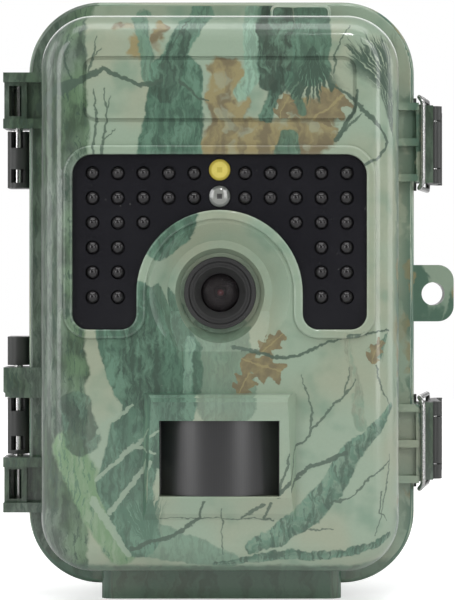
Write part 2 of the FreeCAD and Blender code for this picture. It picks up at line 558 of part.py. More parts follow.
# ---- every node ---------------------------------------------------------------------------
def all_nodes():
    nodes = {
        "front_housing": front_housing(), "ir_window": ir_window(), "ir_leds": ir_leds(),
        "led_board": led_board(),
        "status_led": lamp(96.7, False), "light_sensor": lamp(90.9, True), "lens_bezel": lens_bezel(),
        "lens_glass": lens_glass(), "lens_barrel": lens_barrel(), "lens_holder": lens_holder(),
        "image_sensor": box(-4.5, 4.5, -25.3, -24.05, LENS_Z - 4.5, LENS_Z + 4.5), "pir_lens": pir_lens(),
        "pir_sensor": pir_sensor(), "main_board": main_board(), "inner_frame": inner_frame(),
        "lcd_panel": box(-28.0, 28.0, -18.0, -15.05, 70.0, 116.0),
        "lcd_window": box(-26.0, 26.0, -14.05, -13.1, 73.0, 113.0),
        "frame_screws": [pan_screw(x, z, -12.9, 1.9, 1.0, 8.0, -1) for x, z in FRAME_POSTS],
        "keypad_board": keypad_board(), "mode_switch": mode_switch(), "card_slot": card_slot(),
        "memory_card": memory_card(), "usb_port": usb_port(),
        "speaker": fuse(rod_y(0, 22.0, 9.0, -19.0, -15.1), rod_y(0, 22.0, 5.0, -21.6, -18.9)),
        "microphone": rod_z(18.0, -21.5, 2.0, 125.0, 127.6), "power_pins": power_pins(),
        "rear_case": rear_case(), "door_seal": door_seal(), "tripod_insert": tripod_insert(),
        "battery_tray": battery_tray(), "battery_cells": cells(), "battery_contacts": battery_contacts(),
        "battery_springs": battery_springs(), "power_contacts": power_contacts(), "tree_bracket": tree_bracket(),
        "tray_screws": [pan_screw(x, z, 10.4, 1.9, 1.0, 5.6, 1) for x, z in TRAY_SCREWS],
        "bracket_screws": [pan_screw(x, z, 20.45, 2.2, 1.3, 3.2, -1) for x, z in BRACKET_SCREWS],
        "upper_hinge_block": hinge_block(*UPPER_BLOCK, [(94.8, 97.9), (102.8, 106.7)]),
        "lower_hinge_block": hinge_block(*LOWER_BLOCK, [(33.4, 36.6), (42.4, 45.5)]),
        "lower_hinge_cap": hinge_block(*LOWER_CAP, []),
        "upper_hinge_pin": rod_z(HINGE_X, HINGE_Y, PIN_R, UPPER_BLOCK[0] + 0.6, UPPER_BOX[1] - 0.6),
        "lower_hinge_pin": rod_z(HINGE_X, HINGE_Y, PIN_R, LOWER_BOX[0] + 0.6, LOWER_CAP[1] - 0.6),
    }
    for name, place in KEYS.items():
        nodes[name + "_button"] = key(*place)
    for name, z in LATCHES.items():
        nodes[name + "_latch_base"] = latch_base(z)
        nodes[name + "_latch_pin"] = latch_pin(z)
        nodes[name + "_latch_lever"] = latch_lever(z)
        nodes[name + "_latch_bail"] = latch_bail(z)
    nodes["latch_screws"] = [pan_screw(LATCH_SCREW_X, z + dz, -7.3, 1.1, 0.7, 2.9, -1)
                             for z in LATCHES.values() for dz in (-3.6, 3.6)]
    return nodes


def main():
    os.makedirs("parts", exist_ok=True)
    for name, shape in all_nodes().items():
        solids = shape if isinstance(shape, list) else [shape]
        solids = [s for piece in solids for s in piece.Solids]
        bad = [s for s in solids if not s.isValid() or s.Volume <= 0]
        if bad:
            print("invalid solid in", name)
        Part.makeCompound(solids).exportStep(f"parts/{name}.step")
        print(f"{name:20s} solids {len(solids):3d}  volume {sum(s.Volume for s in solids):9.1f}")


main()
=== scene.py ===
# %% [markdown]
# # A trail camera, finished in Blender
# The camera's parts come in from the engineering model at their real size. This lesson gives each of them
# its finish, adds the fine pieces that a printed drawing would leave out, and lights the result on a pale
# table.

# %% Load the frame
import math

import bpy
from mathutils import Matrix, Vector


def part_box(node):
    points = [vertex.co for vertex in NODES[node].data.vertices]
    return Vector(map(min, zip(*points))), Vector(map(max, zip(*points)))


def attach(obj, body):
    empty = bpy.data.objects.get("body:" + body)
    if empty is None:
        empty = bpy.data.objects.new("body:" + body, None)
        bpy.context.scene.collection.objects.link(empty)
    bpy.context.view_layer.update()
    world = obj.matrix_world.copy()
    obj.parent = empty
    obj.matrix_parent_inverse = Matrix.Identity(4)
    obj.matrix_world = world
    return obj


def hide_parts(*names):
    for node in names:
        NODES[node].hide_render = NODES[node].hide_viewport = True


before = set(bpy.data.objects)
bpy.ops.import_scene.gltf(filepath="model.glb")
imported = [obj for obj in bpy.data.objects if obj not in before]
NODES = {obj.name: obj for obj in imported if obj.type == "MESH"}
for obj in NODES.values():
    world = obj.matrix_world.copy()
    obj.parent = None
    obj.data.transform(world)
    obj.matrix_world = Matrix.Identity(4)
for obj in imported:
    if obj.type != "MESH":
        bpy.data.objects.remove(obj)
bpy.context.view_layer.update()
MM = 0.001
print("nodes loaded:", len(NODES))

# %% [markdown]
# ## A shorthand for wiring shader nodes
# A material in Blender is a graph. Adding nodes one call at a time hides the idea behind the bookkeeping,
# so this small class adds a node and feeds its sockets in one line. A socket takes a number, a colour or
# another output.


# %% Shader wiring helper
class Wiring:
    def __init__(self, tree):
        self.tree = tree

    def put(self, kind, **settings):
        node = self.tree.nodes.new("ShaderNode" + kind)
        for name, value in settings.items():
            setattr(node, name, value)
        return node

    def feed(self, socket, value):
        if isinstance(value, bpy.types.NodeSocket):
            self.tree.links.new(value, socket)
        elif value is not None:
            if socket.type == "RGBA" and len(value) == 3:
                value = (*value, 1.0)
            socket.default_value = value

    def feed_all(self, node, **values):
        """Feeds sockets by name, with an underscore for a space, and gives the node's outputs."""
        for name, value in values.items():
            self.feed(node.inputs[name.replace("_", " ")], value)
        return node.outputs

    def feed_in_turn(self, node, values):
        for socket, value in zip(node.inputs, values):
            self.feed(socket, value)
        return node.outputs

    def math(self, operation, *values):
        return self.feed_in_turn(self.put("Math", operation=operation), values)[0]

    def vector(self, operation, *values):
        made = self.feed_in_turn(self.put("VectorMath", operation=operation), values)
        return made["Value" if operation in ("DOT_PRODUCT", "LENGTH") else "Vector"]

    def place_in_mm(self):
        """Where a point lies on the object, in millimetres."""
        place = self.put("TexCoord").outputs["Object"]
        return self.feed_all(self.put("VectorMath", operation="SCALE"), Vector=place, Scale=1 / MM)["Vector"]

    def mix(self, mask, below, above, blend="MIX"):
        node = self.put("Mix", data_type="RGBA", blend_type=blend)
        for socket, value in zip((node.inputs[0], node.inputs[6], node.inputs[7]), (mask, below, above)):
            self.feed(socket, value)
        return node.outputs[2]

    def noise(self, where, scale, detail=3.0, roughness=0.5, warp=0.0):
        return self.feed_all(self.put("TexNoise"), Vector=where, Scale=scale, Detail=detail,
                             Roughness=roughness, Distortion=warp)["Fac"]

    def wobble(self, where, scale):
        """Noise in three directions at once, from about -0.5 to 0.5, to push a place about with."""
        made = self.feed_all(self.put("TexNoise"), Vector=where, Scale=scale, Detail=3.0)
        return self.vector("SUBTRACT", made["Color"], (0.5, 0.5, 0.5))

    def stretched_noise(self, where, stretch, *values):
        """Noise on a place whose axes are scaled first, so its spots grow long where the number is small."""
        return self.noise(self.vector("MULTIPLY", where, stretch), *values)

    def step(self, value, low, high):
        """0 below low, 1 above high and smooth between; it falls instead if low is the larger."""
        node = self.put("MapRange", interpolation_type="SMOOTHSTEP")
        return self.feed_all(node, Value=value, From_Min=low, From_Max=high)[0]

    def parts(self, vector, letters):
        """The named components of a vector, one output for each letter."""
        axes = {"x": (1.0, 0.0, 0.0), "y": (0.0, 1.0, 0.0), "z": (0.0, 0.0, 1.0)}
        made = [self.vector("DOT_PRODUCT", vector, axes[letter]) for letter in letters]
        return made[0] if len(made) == 1 else made

    def join(self, x, y, z=0.0):
        return self.feed_in_turn(self.put("CombineXYZ"), (x, y, z))[0]

    def use(self, group, **values):
        return self.feed_all(self.put("Group", node_tree=group), **values)


def new_group(name, inputs, outputs):
    """An empty node group. inputs and outputs map socket names to Float, Vector or Color."""
    group = bpy.data.node_groups.new(name, "ShaderNodeTree")
    for direction, sockets in (("INPUT", inputs), ("OUTPUT", outputs)):
        for label, kind in sockets.items():
            group.interface.new_socket(label, in_out=direction, socket_type="NodeSocket" + kind)
    wires = Wiring(group)
    return group, wires, group.nodes.new("NodeGroupInput").outputs, group.nodes.new("NodeGroupOutput").inputs


print("wiring helper ready")

# %% [markdown]
# ## Wrapping a flat print round a case
# The real shell is dipped through a printed film, so the picture runs round its corners without a seam. A
# flat projection would smear down the sides. This group measures in millimetres, and pushes each point
# outward along the way its surface faces by its depth behind the front, which unrolls the sides into the
# same flat picture.


# %% Wrap group
def make_wrap():
    group, w, given, out = new_group("film_wrap", {"Face": "Float", "Way": "Float"}, {"Place": "Vector"})
    x, y, z = w.parts(w.place_in_mm(), "xyz")
    nx, nz = w.parts(w.put("TexCoord").outputs["Normal"], "xz")
    depth = w.math("MULTIPLY", w.math("SUBTRACT", y, given["Face"]), given["Way"])
    u = w.math("MULTIPLY_ADD", nx, depth, x)
    v = w.math("MULTIPLY_ADD", nz, depth, z)
    w.feed(out["Place"], w.join(u, v))
    return group


WRAP = make_wrap()
print("wrap group:", len(WRAP.nodes), "nodes")

# %% [markdown]
# ## Strokes of a brush
# Twigs, branches and trunks in the print are all tapering strokes. One group draws a straight stroke
# between two points with its own half width at each end, and tells how far across the stroke a point lies,
# which shades it.


# %% Stroke group
def make_stroke():
    group, w, given, out = new_group(
        "print_stroke",
        {"Place": "Vector", "Start": "Vector", "End": "Vector", "Start Width": "Float", "End Width": "Float",
         "Edge": "Float"},
        {"Mask": "Float", "Across": "Float"})
    point = w.vector("SUBTRACT", given["Place"], given["Start"])
    run = w.vector("SUBTRACT", given["End"], given["Start"])
    length, heading = w.vector("LENGTH", run), w.vector("NORMALIZE", run)
    along = w.vector("DOT_PRODUCT", point, heading)
    side = w.vector("DOT_PRODUCT", point, w.vector("CROSS_PRODUCT", (0.0, 0.0, 1.0), heading))
    t = w.math("MINIMUM", w.math("MAXIMUM", w.math("DIVIDE", along, length), 0.0), 1.0)
    beyond = w.math("MULTIPLY_ADD", t, w.math("MULTIPLY", length, -1.0), along)
    away = w.math("SQRT", w.math("MULTIPLY_ADD", side, side, w.math("MULTIPLY", beyond, beyond)))
    widening = w.math("SUBTRACT", given["End Width"], given["Start Width"])
    half = w.math("MULTIPLY_ADD", widening, t, given["Start Width"])
    inside = w.math("SUBTRACT", half, away)
    w.feed(out["Mask"], w.step(inside, w.math("MULTIPLY", given["Edge"], -1.0), given["Edge"]))
    w.feed(out["Across"], w.math("DIVIDE", side, half))
    return group


STROKE = make_stroke()


# %% [markdown]
# ## Leaves and needles
# A dead oak leaf is an ellipse whose edge swings in and out in lobes, with a pale rib down its middle. Pine
# needles fan out from a point, so they are thin spokes in polar coordinates, broken up by noise.


# %% Leaf and needle groups
def make_leaf():
    group, w, given, out = new_group(
        "print_leaf",
        {"Place": "Vector", "Centre": "Vector", "Angle": "Float", "Long": "Float", "Wide": "Float"},
        {"Mask": "Float", "Tone": "Float"})
    from_centre = w.vector("SUBTRACT", given["Place"], given["Centre"])
    turned = w.feed_all(w.put("VectorRotate", rotation_type="Z_AXIS"), Vector=from_centre,
                        Angle=w.math("MULTIPLY", given["Angle"], -1.0))
    x, y = w.parts(turned[0], "xy")
    along = w.math("DIVIDE", x, given["Long"])
    across = w.math("DIVIDE", y, given["Wide"])
    swing = w.math("MULTIPLY", along, 8.5)
    lobes = w.math("SINE", w.math("MULTIPLY_ADD", w.math("ABSOLUTE", across), -3.0, swing))
    radius = w.vector("LENGTH", w.join(along, across))
    edge = w.math("MULTIPLY_ADD", lobes, 0.26, radius)
    w.feed(out["Mask"], w.step(edge, 0.98, 0.86))
    rib = w.step(w.math("ABSOLUTE", across), 0.10, 0.03)
    mottle = w.noise(given["Place"], 0.5, 3.0)
    w.feed(out["Tone"], w.math("MULTIPLY_ADD", rib, 0.4, mottle))
    return group


def make_needles():
    group, w, given, out = new_group(
        "print_needles",
        {"Place": "Vector", "Root": "Vector", "Angle": "Float", "Spread": "Float", "Reach": "Float",
         "Count": "Float"},
        {"Mask": "Float"})
    x, y = w.parts(w.vector("SUBTRACT", given["Place"], given["Root"]), "xy")
    heading = w.math("SUBTRACT", w.math("ARCTAN2", y, x), given["Angle"])
    wrapped = w.math("WRAP", heading, math.pi, -math.pi)
    radius = w.vector("LENGTH", w.join(x, y))
    polar = w.join(w.math("MULTIPLY", wrapped, given["Count"]), w.math("MULTIPLY", radius, 0.16))
    spoke = w.noise(polar, 1.0, 1.0)
    fan = w.step(w.math("ABSOLUTE", wrapped), given["Spread"], w.math("MULTIPLY", given["Spread"], 0.5))
    ragged = w.math("MULTIPLY_ADD", spoke, -0.9, w.math("DIVIDE", radius, given["Reach"]))
    tip = w.step(ragged, 0.5, 0.25)
    w.feed(out["Mask"], w.math("MULTIPLY", w.step(spoke, 0.36, 0.46), w.math("MULTIPLY", fan, tip)))
    return group


LEAF, NEEDLES = make_leaf(), make_needles()
print("drawing groups:", [g.name for g in (STROKE, LEAF, NEEDLES)])

# %% [markdown]
# ## The woodland picture
# The picture is painted from back to front like a poster: a sage ground, hazy trunks, a rough bark column,
# dark masses, leaves, then branches and twigs. Places are in millimetres across and up the face. Every line
# passes through a gentle wobble first, so no edge is ruler straight.

# %% Print colours
SAGE = (0.257, 0.338, 0.249)
SAGE_WARM = (0.285, 0.325, 0.232)
MINT = (0.240, 0.390, 0.290)
HAZE = (0.118, 0.225, 0.155)
TEAL = (0.064, 0.140, 0.092)
FOREST = (0.034, 0.070, 0.046)
BARK_DARK = (0.052, 0.078, 0.057)
BARK_LIGHT = (0.135, 0.185, 0.140)
MOSS = (0.140, 0.245, 0.125)
MOSS_PALE = (0.215, 0.300, 0.195)
OCHRE = (0.250, 0.215, 0.100)
RUST = (0.150, 0.125, 0.066)
TWIG = (0.050, 0.088, 0.060)

# %% Where the strokes go
TRUNKS = [  # hazy trunks and dark masses: route of (across, up, half width), colour, strength
    ([(-9.6, 117.0, 5.8), (-10.8, 100.0, 7.2), (-12.0, 84.0, 7.0)], TEAL, 1.0),
    ([(-17.8, 133.0, 1.5), (-15.4, 117.0, 1.6)], HAZE, 0.9),
    ([(-4.5, 133.0, 3.0), (-12.0, 117.0, 2.4)], HAZE, 1.0),
    ([(-8.2, 126.0, 2.0), (-12.0, 114.5, 3.2)], FOREST, 0.75),
    ([(6.8, 134.0, 1.6), (7.0, 117.0, 1.6), (4.4, 113.2, 1.3)], MINT, 0.9),
    ([(12.2, 134.0, 4.0), (12.4, 117.0, 4.0)], FOREST, 0.95),
    ([(20.4, 134.0, 4.0), (20.0, 119.0, 4.2)], TEAL, 0.95),
    ([(13.4, 118.4, 1.0), (10.2, 108.6, 1.5)], FOREST, 1.0),
    ([(15.4, 117.0, 1.3), (18.2, 109.4, 0.9)], TEAL, 0.9),
    ([(15.2, 103.6, 2.2), (15.0, 101.0, 3.0)], TEAL, 0.9),
    ([(-19.5, 64.0, 8.4), (-17.0, 54.0, 8.0), (-13.0, 46.0, 8.2), (-16.0, 38.0, 7.0)], TEAL, 1.0),
    ([(-13.5, 67.0, 4.6), (-8.5, 57.0, 4.6), (-7.5, 49.0, 3.6)], TEAL, 0.9),
    ([(-17.0, 58.0, 5.0), (-17.5, 49.0, 5.0)], FOREST, 0.55),
    ([(0.0, 60.0, 6.5), (1.5, 47.0, 6.5)], TEAL, 0.55),
    ([(-18.5, 38.0, 6.0), (-20.8, 27.0, 6.2), (-17.5, 16.0, 4.4)], TEAL, 0.95),
    ([(-16.0, 16.0, 4.0), (-6.0, 13.0, 3.6), (2.0, 10.5, 2.4)], HAZE, 0.7),
    ([(-31.5, 44.5, 3.6), (-30.3, 38.0, 4.0)], FOREST, 0.75),
    ([(-6.2, 60.0, 0.9), (-7.3, 47.6, 1.0)], MINT, 0.55),
    ([(28.0, 60.0, 0.9), (31.0, 41.0, 1.3)], SAGE_WARM, 0.8),
]
PALE_LINES = [
    [(-26.9, 28.6, 0.4), (-18.7, 36.4, 0.45), (-13.0, 40.0, 0.4)],
    [(-18.7, 36.4, 0.35), (-14.0, 35.2, 0.3)],
    [(-24.2, 21.5, 0.6), (-20.3, 26.6, 0.6), (-14.8, 32.9, 0.5)],
    [(-26.9, 39.5, 0.5), (-21.8, 43.1, 0.5), (-19.3, 44.8, 0.35)],
    [(-28.0, 24.0, 0.8), (-23.5, 18.0, 0.8), (-20.0, 12.5, 0.7)],
]
BRANCHES = [
    [(-41.0, 111.5, 1.3), (-35.0, 114.2, 1.1), (-29.9, 116.6, 0.75), (-25.5, 119.2, 0.45),
     (-22.6, 117.5, 0.45), (-17.6, 115.4, 0.5), (-12.9, 116.3, 0.3)],
    [(-9.1, 116.0, 0.35), (-4.7, 112.5, 0.35), (-2.4, 111.8, 0.2)],
    [(24.1, 115.5, 0.3), (28.0, 113.2, 0.35), (33.6, 107.9, 0.45), (37.5, 102.9, 0.35), (34.5, 98.7, 0.3),
     (31.1, 97.6, 0.25)],
    [(30.0, 114.3, 0.25), (28.9, 108.8, 0.45), (25.3, 103.0, 0.65)],
    [(3.2, 57.9, 0.5), (7.9, 57.1, 0.45), (11.8, 55.6, 0.4), (17.7, 56.0, 0.35), (22.0, 58.3, 0.3),
     (27.5, 59.9, 0.25), (37.7, 61.5, 0.25)],
    [(12.8, 26.2, 0.45), (19.7, 31.3, 0.4), (27.5, 34.5, 0.6)],
    [(-19.1, 13.7, 0.5), (-10.1, 16.5, 0.45), (-4.6, 20.8, 0.35), (-3.4, 24.7, 0.3)],
]
TWIGS = [
    [(-28.6, 117.5, 0.25), (-27.7, 121.3, 0.2), (-26.7, 125.7, 0.12)],
    [(-27.5, 121.4, 0.15), (-26.0, 123.2, 0.1)],
    [(-27.6, 100.0, 0.3), (-27.0, 108.7, 0.22), (-27.7, 114.0, 0.12)],
    [(-25.6, 100.0, 0.3), (-24.8, 110.4, 0.22), (-25.4, 114.5, 0.12)],
    [(-24.7, 110.4, 0.18), (-23.8, 112.8, 0.1)],
    [(-25.5, 103.1, 0.2), (-23.0, 105.6, 0.1)],
    [(24.7, 118.0, 0.2), (25.2, 121.9, 0.2), (28.6, 128.6, 0.12)],
    [(31.1, 109.3, 0.2), (25.8, 103.7, 0.35)],
    [(12.8, 26.2, 0.35), (15.7, 35.2, 0.3), (20.8, 40.3, 0.28), (27.5, 47.8, 0.22), (29.6, 50.9, 0.12)],
    [(19.7, 39.3, 0.22), (20.4, 43.5, 0.2), (18.9, 49.3, 0.16), (17.7, 51.1, 0.1)],
    [(27.5, 48.1, 0.15), (28.3, 53.2, 0.1)],
    [(24.4, 23.9, 0.25), (28.3, 24.7, 0.22), (33.4, 29.0, 0.22), (37.9, 33.2, 0.15)],
    [(38.0, 34.1, 0.12), (36.5, 25.5, 0.15), (34.1, 16.5, 0.12)],
    [(35.7, 26.2, 0.2), (34.9, 22.3, 0.2), (37.3, 20.0, 0.12)],
    [(19.3, 17.8, 0.15), (24.7, 17.8, 0.15)],
    [(34.1, 54.0, 0.2), (35.7, 48.1, 0.18), (37.9, 45.6, 0.12)],
    [(0.5, 23.0, 0.14), (0.7, 12.5, 0.14)],
    [(-13.2, 20.8, 0.15), (-1.5, 20.6, 0.15), (12.0, 20.4, 0.2)],
    [(4.8, 21.1, 0.4), (9.9, 24.3, 0.3)],
    [(9.9, 20.8, 0.35), (11.4, 24.3, 0.3)],
    [(-6.0, 133.0, 0.12), (-12.6, 119.0, 0.18)],
]
BARK_LIMBS = [
    [(38.5, 45.0, 0.8), (32.2, 38.0, 1.6), (28.3, 34.1, 2.3), (24.4, 26.6, 2.7), (19.7, 21.5, 2.8),
     (13.0, 16.8, 2.5), (7.4, 14.2, 1.5)],
    [(-1.0, 9.2, 0.5), (7.9, 11.4, 1.2), (15.7, 12.2, 1.5), (22.0, 11.8, 1.0), (30.6, 13.3, 0.8),
     (38.5, 15.8, 0.9)],
]
LEAVES = [  # across, up, turn in degrees, half length, half width
    (11.6, 59.0, 40, 3.4, 2.3), (9.6, 53.4, -20, 5.2, 2.9), (5.6, 50.2, 60, 3.2, 2.4),
    (24.2, 110.8, 35, 4.4, 3.6), (14.2, 110.6, 60, 2.6, 2.0), (34.5, 57.2, 60, 3.0, 1.6),
]
OCHRE_FIELDS = [
    [(1.4, 118.0, 3.8), (1.6, 104.0, 4.8)], [(6.0, 104.0, 4.6), (22.0, 104.4, 3.8)],
    [(16.0, 110.5, 2.2), (23.5, 110.5, 3.4)],
    [(-22.8, 128.3, 0.9), (-18.0, 128.3, 0.9)], [(-13.4, 129.5, 1.1), (-13.4, 122.5, 0.8)],
    [(-18.4, 125.0, 0.8), (-18.6, 121.8, 1.1)], [(-3.0, 101.0, 2.2), (8.0, 101.2, 1.8)],
]
FANS = [  # root across, root up, turn, spread, reach, spokes
    (39.0, 112.0, 118, 0.62, 17.0, 26), (39.5, 104.0, 102, 0.30, 13.0, 30),
    (20.5, 124.0, -90, 0.75, 14.0, 22), (-15.0, 14.0, 105, 0.7, 12.0, 26), (37.5, 61.0, 235, 0.45, 7.0, 24),
]
print("strokes:", sum(len(r) - 1 for r in PALE_LINES + BRANCHES + TWIGS + BARK_LIMBS))


# %% [markdown]
# Each layer of one colour is the union of its strokes, so the strokes' masks join by taking the larger, and
# the colour is laid down once. That keeps the graph small enough to render quickly.


# %% Layer helpers
def strokes(w, place, route, edge):
    """One stroke node for each run between two neighbouring points of a route."""
    for (x0, z0, w0), (x1, z1, w1) in zip(route, route[1:]):
        yield w.use(STROKE, Place=place, Start=(x0, z0, 0), End=(x1, z1, 0), Start_Width=w0, End_Width=w1,
                    Edge=edge)


def route_mask(w, place, route, edge):
    """The mask of one route, and how far across it a point lies, which shades it."""
    mask, across = None, None
    for made in strokes(w, place, route, edge):
        if mask is None:
            mask, across = made["Mask"], made["Across"]
        else:
            closer = w.math("GREATER_THAN", made["Mask"], mask)
            step = w.math("SUBTRACT", made["Across"], across)
            across = w.math("MULTIPLY_ADD", step, closer, across)
            mask = w.math("MAXIMUM", mask, made["Mask"])
    return mask, across


def union_mask(w, place, routes, edge):
    """The mask of many routes together."""
    mask = None
    for route in routes:
        for made in strokes(w, place, route, edge):
            mask = made["Mask"] if mask is None else w.math("MAXIMUM", mask, made["Mask"])
    return mask


def thin(w, mask, strength):
    return w.math("MULTIPLY", mask, strength)


def make_print():
    """The whole picture as one group: a place on the film in, its colour out."""
    group, w, given, out = new_group("woodland_print", {"Place": "Vector"},
                                     {"Colour": "Color", "Relief": "Float"})
    flat = given["Place"]
    sway = w.wobble(flat, 0.22)
    fray = w.wobble(flat, 0.9)
    place = w.vector("ADD", flat, w.vector("MULTIPLY", sway, (2.2, 2.2, 0.0)))
    place = w.vector("ADD", place, w.vector("MULTIPLY", fray, (0.9, 1.4, 0.0)))
    loose = w.vector("ADD", flat, w.vector("MULTIPLY", sway, (7.0, 7.0, 0.0)))
    u, v = w.parts(place, "xy")

    # the sage ground, warm in places
    ground = w.mix(w.step(w.noise(flat, 0.045, 2.0), 0.40, 0.62), SAGE, SAGE_WARM)
    ground = w.mix(thin(w, w.step(w.noise(flat, 0.07, 3.0, 0.6), 0.50, 0.72), 0.55), ground, HAZE)

    # away from the face the picture goes on as loose patches of the same colours
    far = w.step(w.math("ABSOLUTE", w.parts(flat, "x")), 38.5, 45.0)
    patch = w.step(w.stretched_noise(loose, (1.0, 0.35, 1.0), 0.11, 3.0, 0.55), 0.47, 0.53)
    ground = w.mix(thin(w, patch, far), ground, TEAL)
    rusty = w.step(w.stretched_noise(loose, (1.0, 0.7, 1.0), 0.13, 2.0), 0.62, 0.66)
    ground = w.mix(thin(w, rusty, far), ground, OCHRE)

    # the bark column down the left
    ripple = w.stretched_noise(place, (0.85, 0.16, 1.0), 0.75, 4.0, 0.62, 0.6)
    bark = w.mix(w.step(ripple, 0.36, 0.66), BARK_DARK, BARK_LIGHT)
    bark = w.mix(thin(w, w.step(w.noise(place, 0.06, 2.0), 0.46, 0.60), 0.7), bark, MOSS, "OVERLAY")
    green = w.math("MULTIPLY", w.step(u, -37.0, -31.0), w.step(w.noise(place, 0.1, 2.0), 0.40, 0.60))
    bark = w.mix(thin(w, green, 0.55), bark, MOSS)
    cracks = w.step(w.stretched_noise(place, (1.3, 0.24, 1.0), 0.62, 5.0, 0.68, 1.2), 0.54, 0.60)
    bark = w.mix(thin(w, cracks, 0.85), bark, FOREST)
    edge = w.math("MULTIPLY_ADD", w.noise(w.join(0.0, v), 0.09, 3.0), 5.0, -31.6)
    column = w.step(w.math("SUBTRACT", u, edge), 0.4, -0.4)
    colour = w.mix(w.math("MULTIPLY", column, w.step(u, -62.0, -52.0)), ground, bark)
    lean, _ = route_mask(w, place, [(-33.5, 36.0, 3.5), (-27.5, 24.0, 4.0), (-21.5, 12.0, 3.0)], 0.5)
    streak = w.mix(w.step(ripple, 0.40, 0.70), MOSS, MOSS_PALE)
    streak = w.mix(thin(w, cracks, 0.7), streak, TEAL)
    colour = w.mix(lean, colour, streak)

    # ochre fields, then hazy trunks and masses with a soft grain of their own
    fields = union_mask(w, loose, OCHRE_FIELDS, 0.5)
    leafy = w.mix(w.step(w.stretched_noise(loose, (1.4, 0.5, 1.0), 0.25, 3.0), 0.42, 0.60), OCHRE, RUST)
    leafy = w.mix(thin(w, w.step(w.noise(loose, 0.16, 2.0), 0.52, 0.60), 0.5), leafy, SAGE_WARM)
    colour = w.mix(fields, colour, leafy)
    broad = w.stretched_noise(loose, (1.0, 0.3, 1.0), 0.28, 4.0, 0.6)
    fine = w.stretched_noise(place, (1.0, 0.22, 1.0), 0.9, 4.0, 0.65, 0.8)
    shadow = thin(w, w.step(fine, 0.56, 0.40), 0.75)
    gleam = thin(w, w.step(w.math("MULTIPLY_ADD", fine, 0.4, broad), 0.66, 0.86), 0.8)
    for route, paint, strength in TRUNKS:
        mask, _ = route_mask(w, place, route, 0.25)
        deep = tuple(channel * 0.55 for channel in paint)
        shaded = w.mix(gleam, w.mix(shadow, paint, deep), HAZE)
        colour = w.mix(thin(w, mask, strength), colour, shaded)

    # needles, leaves and lines
    for x, z, turn, spread, reach, count in FANS:
        fan = w.use(NEEDLES, Place=place, Root=(x, z, 0), Angle=math.radians(turn), Spread=spread,
                    Reach=reach, Count=float(count))["Mask"]
        colour = w.mix(thin(w, fan, 0.95), colour, FOREST if z > 100 else TEAL)
    for x, z, turn, half_long, half_wide in LEAVES:
        leaf = w.use(LEAF, Place=place, Centre=(x, z, 0), Angle=math.radians(turn), Long=half_long,
                     Wide=half_wide)
        tone = w.mix(w.step(leaf["Tone"], 0.35, 0.85), RUST, OCHRE)
        colour = w.mix(leaf["Mask"], colour, tone)
    colour = w.mix(thin(w, union_mask(w, place, PALE_LINES, 0.12), 0.85), colour, SAGE)
    for limb in BARK_LIMBS:
        mask, across = route_mask(w, place, limb, 0.2)
        knots = w.step(w.noise(loose, 0.42, 3.0, 0.6), 0.42, 0.64)
        shade = w.mix(w.step(across, 0.9, -0.9), TEAL, HAZE)
        shade = w.mix(thin(w, knots, 0.35), shade, SAGE)
        shade = w.mix(shadow, shade, FOREST)
        colour = w.mix(mask, colour, shade)
    colour = w.mix(thin(w, union_mask(w, place, BRANCHES, 0.12), 0.92), colour, TWIG)
    colour = w.mix(thin(w, union_mask(w, place, TWIGS, 0.1), 0.85), colour, TWIG)

    # painted shade: towards the bottom of the case the picture turns dark teal and green, standing in for the
    # shade that falls on the foot
    painted_bottom_shade = w.mix(w.step(broad, 0.45, 0.62), TEAL, FOREST)
    colour = w.mix(thin(w, w.step(v, 9.6, 7.6), 0.72), colour, painted_bottom_shade)

    # the printed film's own fine tooth
    tooth = w.noise(flat, 1.6, 4.0, 0.65)
    colour = w.mix(0.10, colour, w.mix(tooth, (0.2, 0.2, 0.2), (0.8, 0.8, 0.8)), "OVERLAY")
    w.feed(out["Colour"], colour)
    w.feed(out["Relief"], tooth)
    return group


PRINT = make_print()
print("print group:", len(PRINT.nodes), "nodes")

# %% [markdown]
# ## Shared surface effects
# Moulded plastic, pressed steel and rubber all carry two things in common: a fine grain that catches light,
# and a slow change of gloss where hands and dust have been. Both are small groups that every material below
# reuses.


# %% Grain and handling groups
def make_grain():
    group, w, given, out = new_group("fine_grain", {"Size": "Float", "Stretch": "Vector"},
                                     {"Height": "Float"})
    place = w.place_in_mm()
    place = w.vector("MULTIPLY", place, given["Stretch"])
    w.feed(out["Height"], w.noise(place, w.math("DIVIDE", 1.0, given["Size"]), 3.0, 0.6))
    return group


def make_handling():
    group, w, given, out = new_group("handling", {"Low": "Float", "High": "Float"},
                                     {"Roughness": "Float", "Dust": "Float"})
    place = w.place_in_mm()
    cloud = w.noise(place, 0.06, 4.0, 0.6)
    span = w.math("SUBTRACT", given["High"], given["Low"])
    w.feed(out["Roughness"], w.math("MULTIPLY_ADD", cloud, span, given["Low"]))
    specks = w.step(w.noise(place, 1.3, 2.0, 0.5), 0.74, 0.80)
    w.feed(out["Dust"], w.math("MULTIPLY", specks, cloud))
    return group


GRAIN, HANDLING = make_grain(), make_handling()


def start_material(name, **plain):
    """A new material with one Principled BSDF. Plain numbers and colours go straight on its sockets."""
    material = bpy.data.materials.new(name)
    material.use_nodes = True
    w = Wiring(material.node_tree)
    shader = material.node_tree.nodes["Principled BSDF"]
    w.feed_all(shader, **plain)
    return material, w, shader.inputs


def bump(w, height, distance, strength=1.0):
    return w.feed_all(w.put("Bump"), Height=height, Distance=distance * MM, Strength=strength)[0]


print("surface groups ready")

# %% [markdown]
# ## The camouflage shell
# The film lies under clear lacquer, so the base is dull and a glossy coat sits on top. The rear half wears
# another stretch of the same film, so its picture is shifted and turned round. The film is only on the
# outside, so a mask finds the hollow's walls, midway through the wall's thickness, and leaves them plain
# olive plastic. It is a rounded rectangle that shrinks with depth, as the case does.

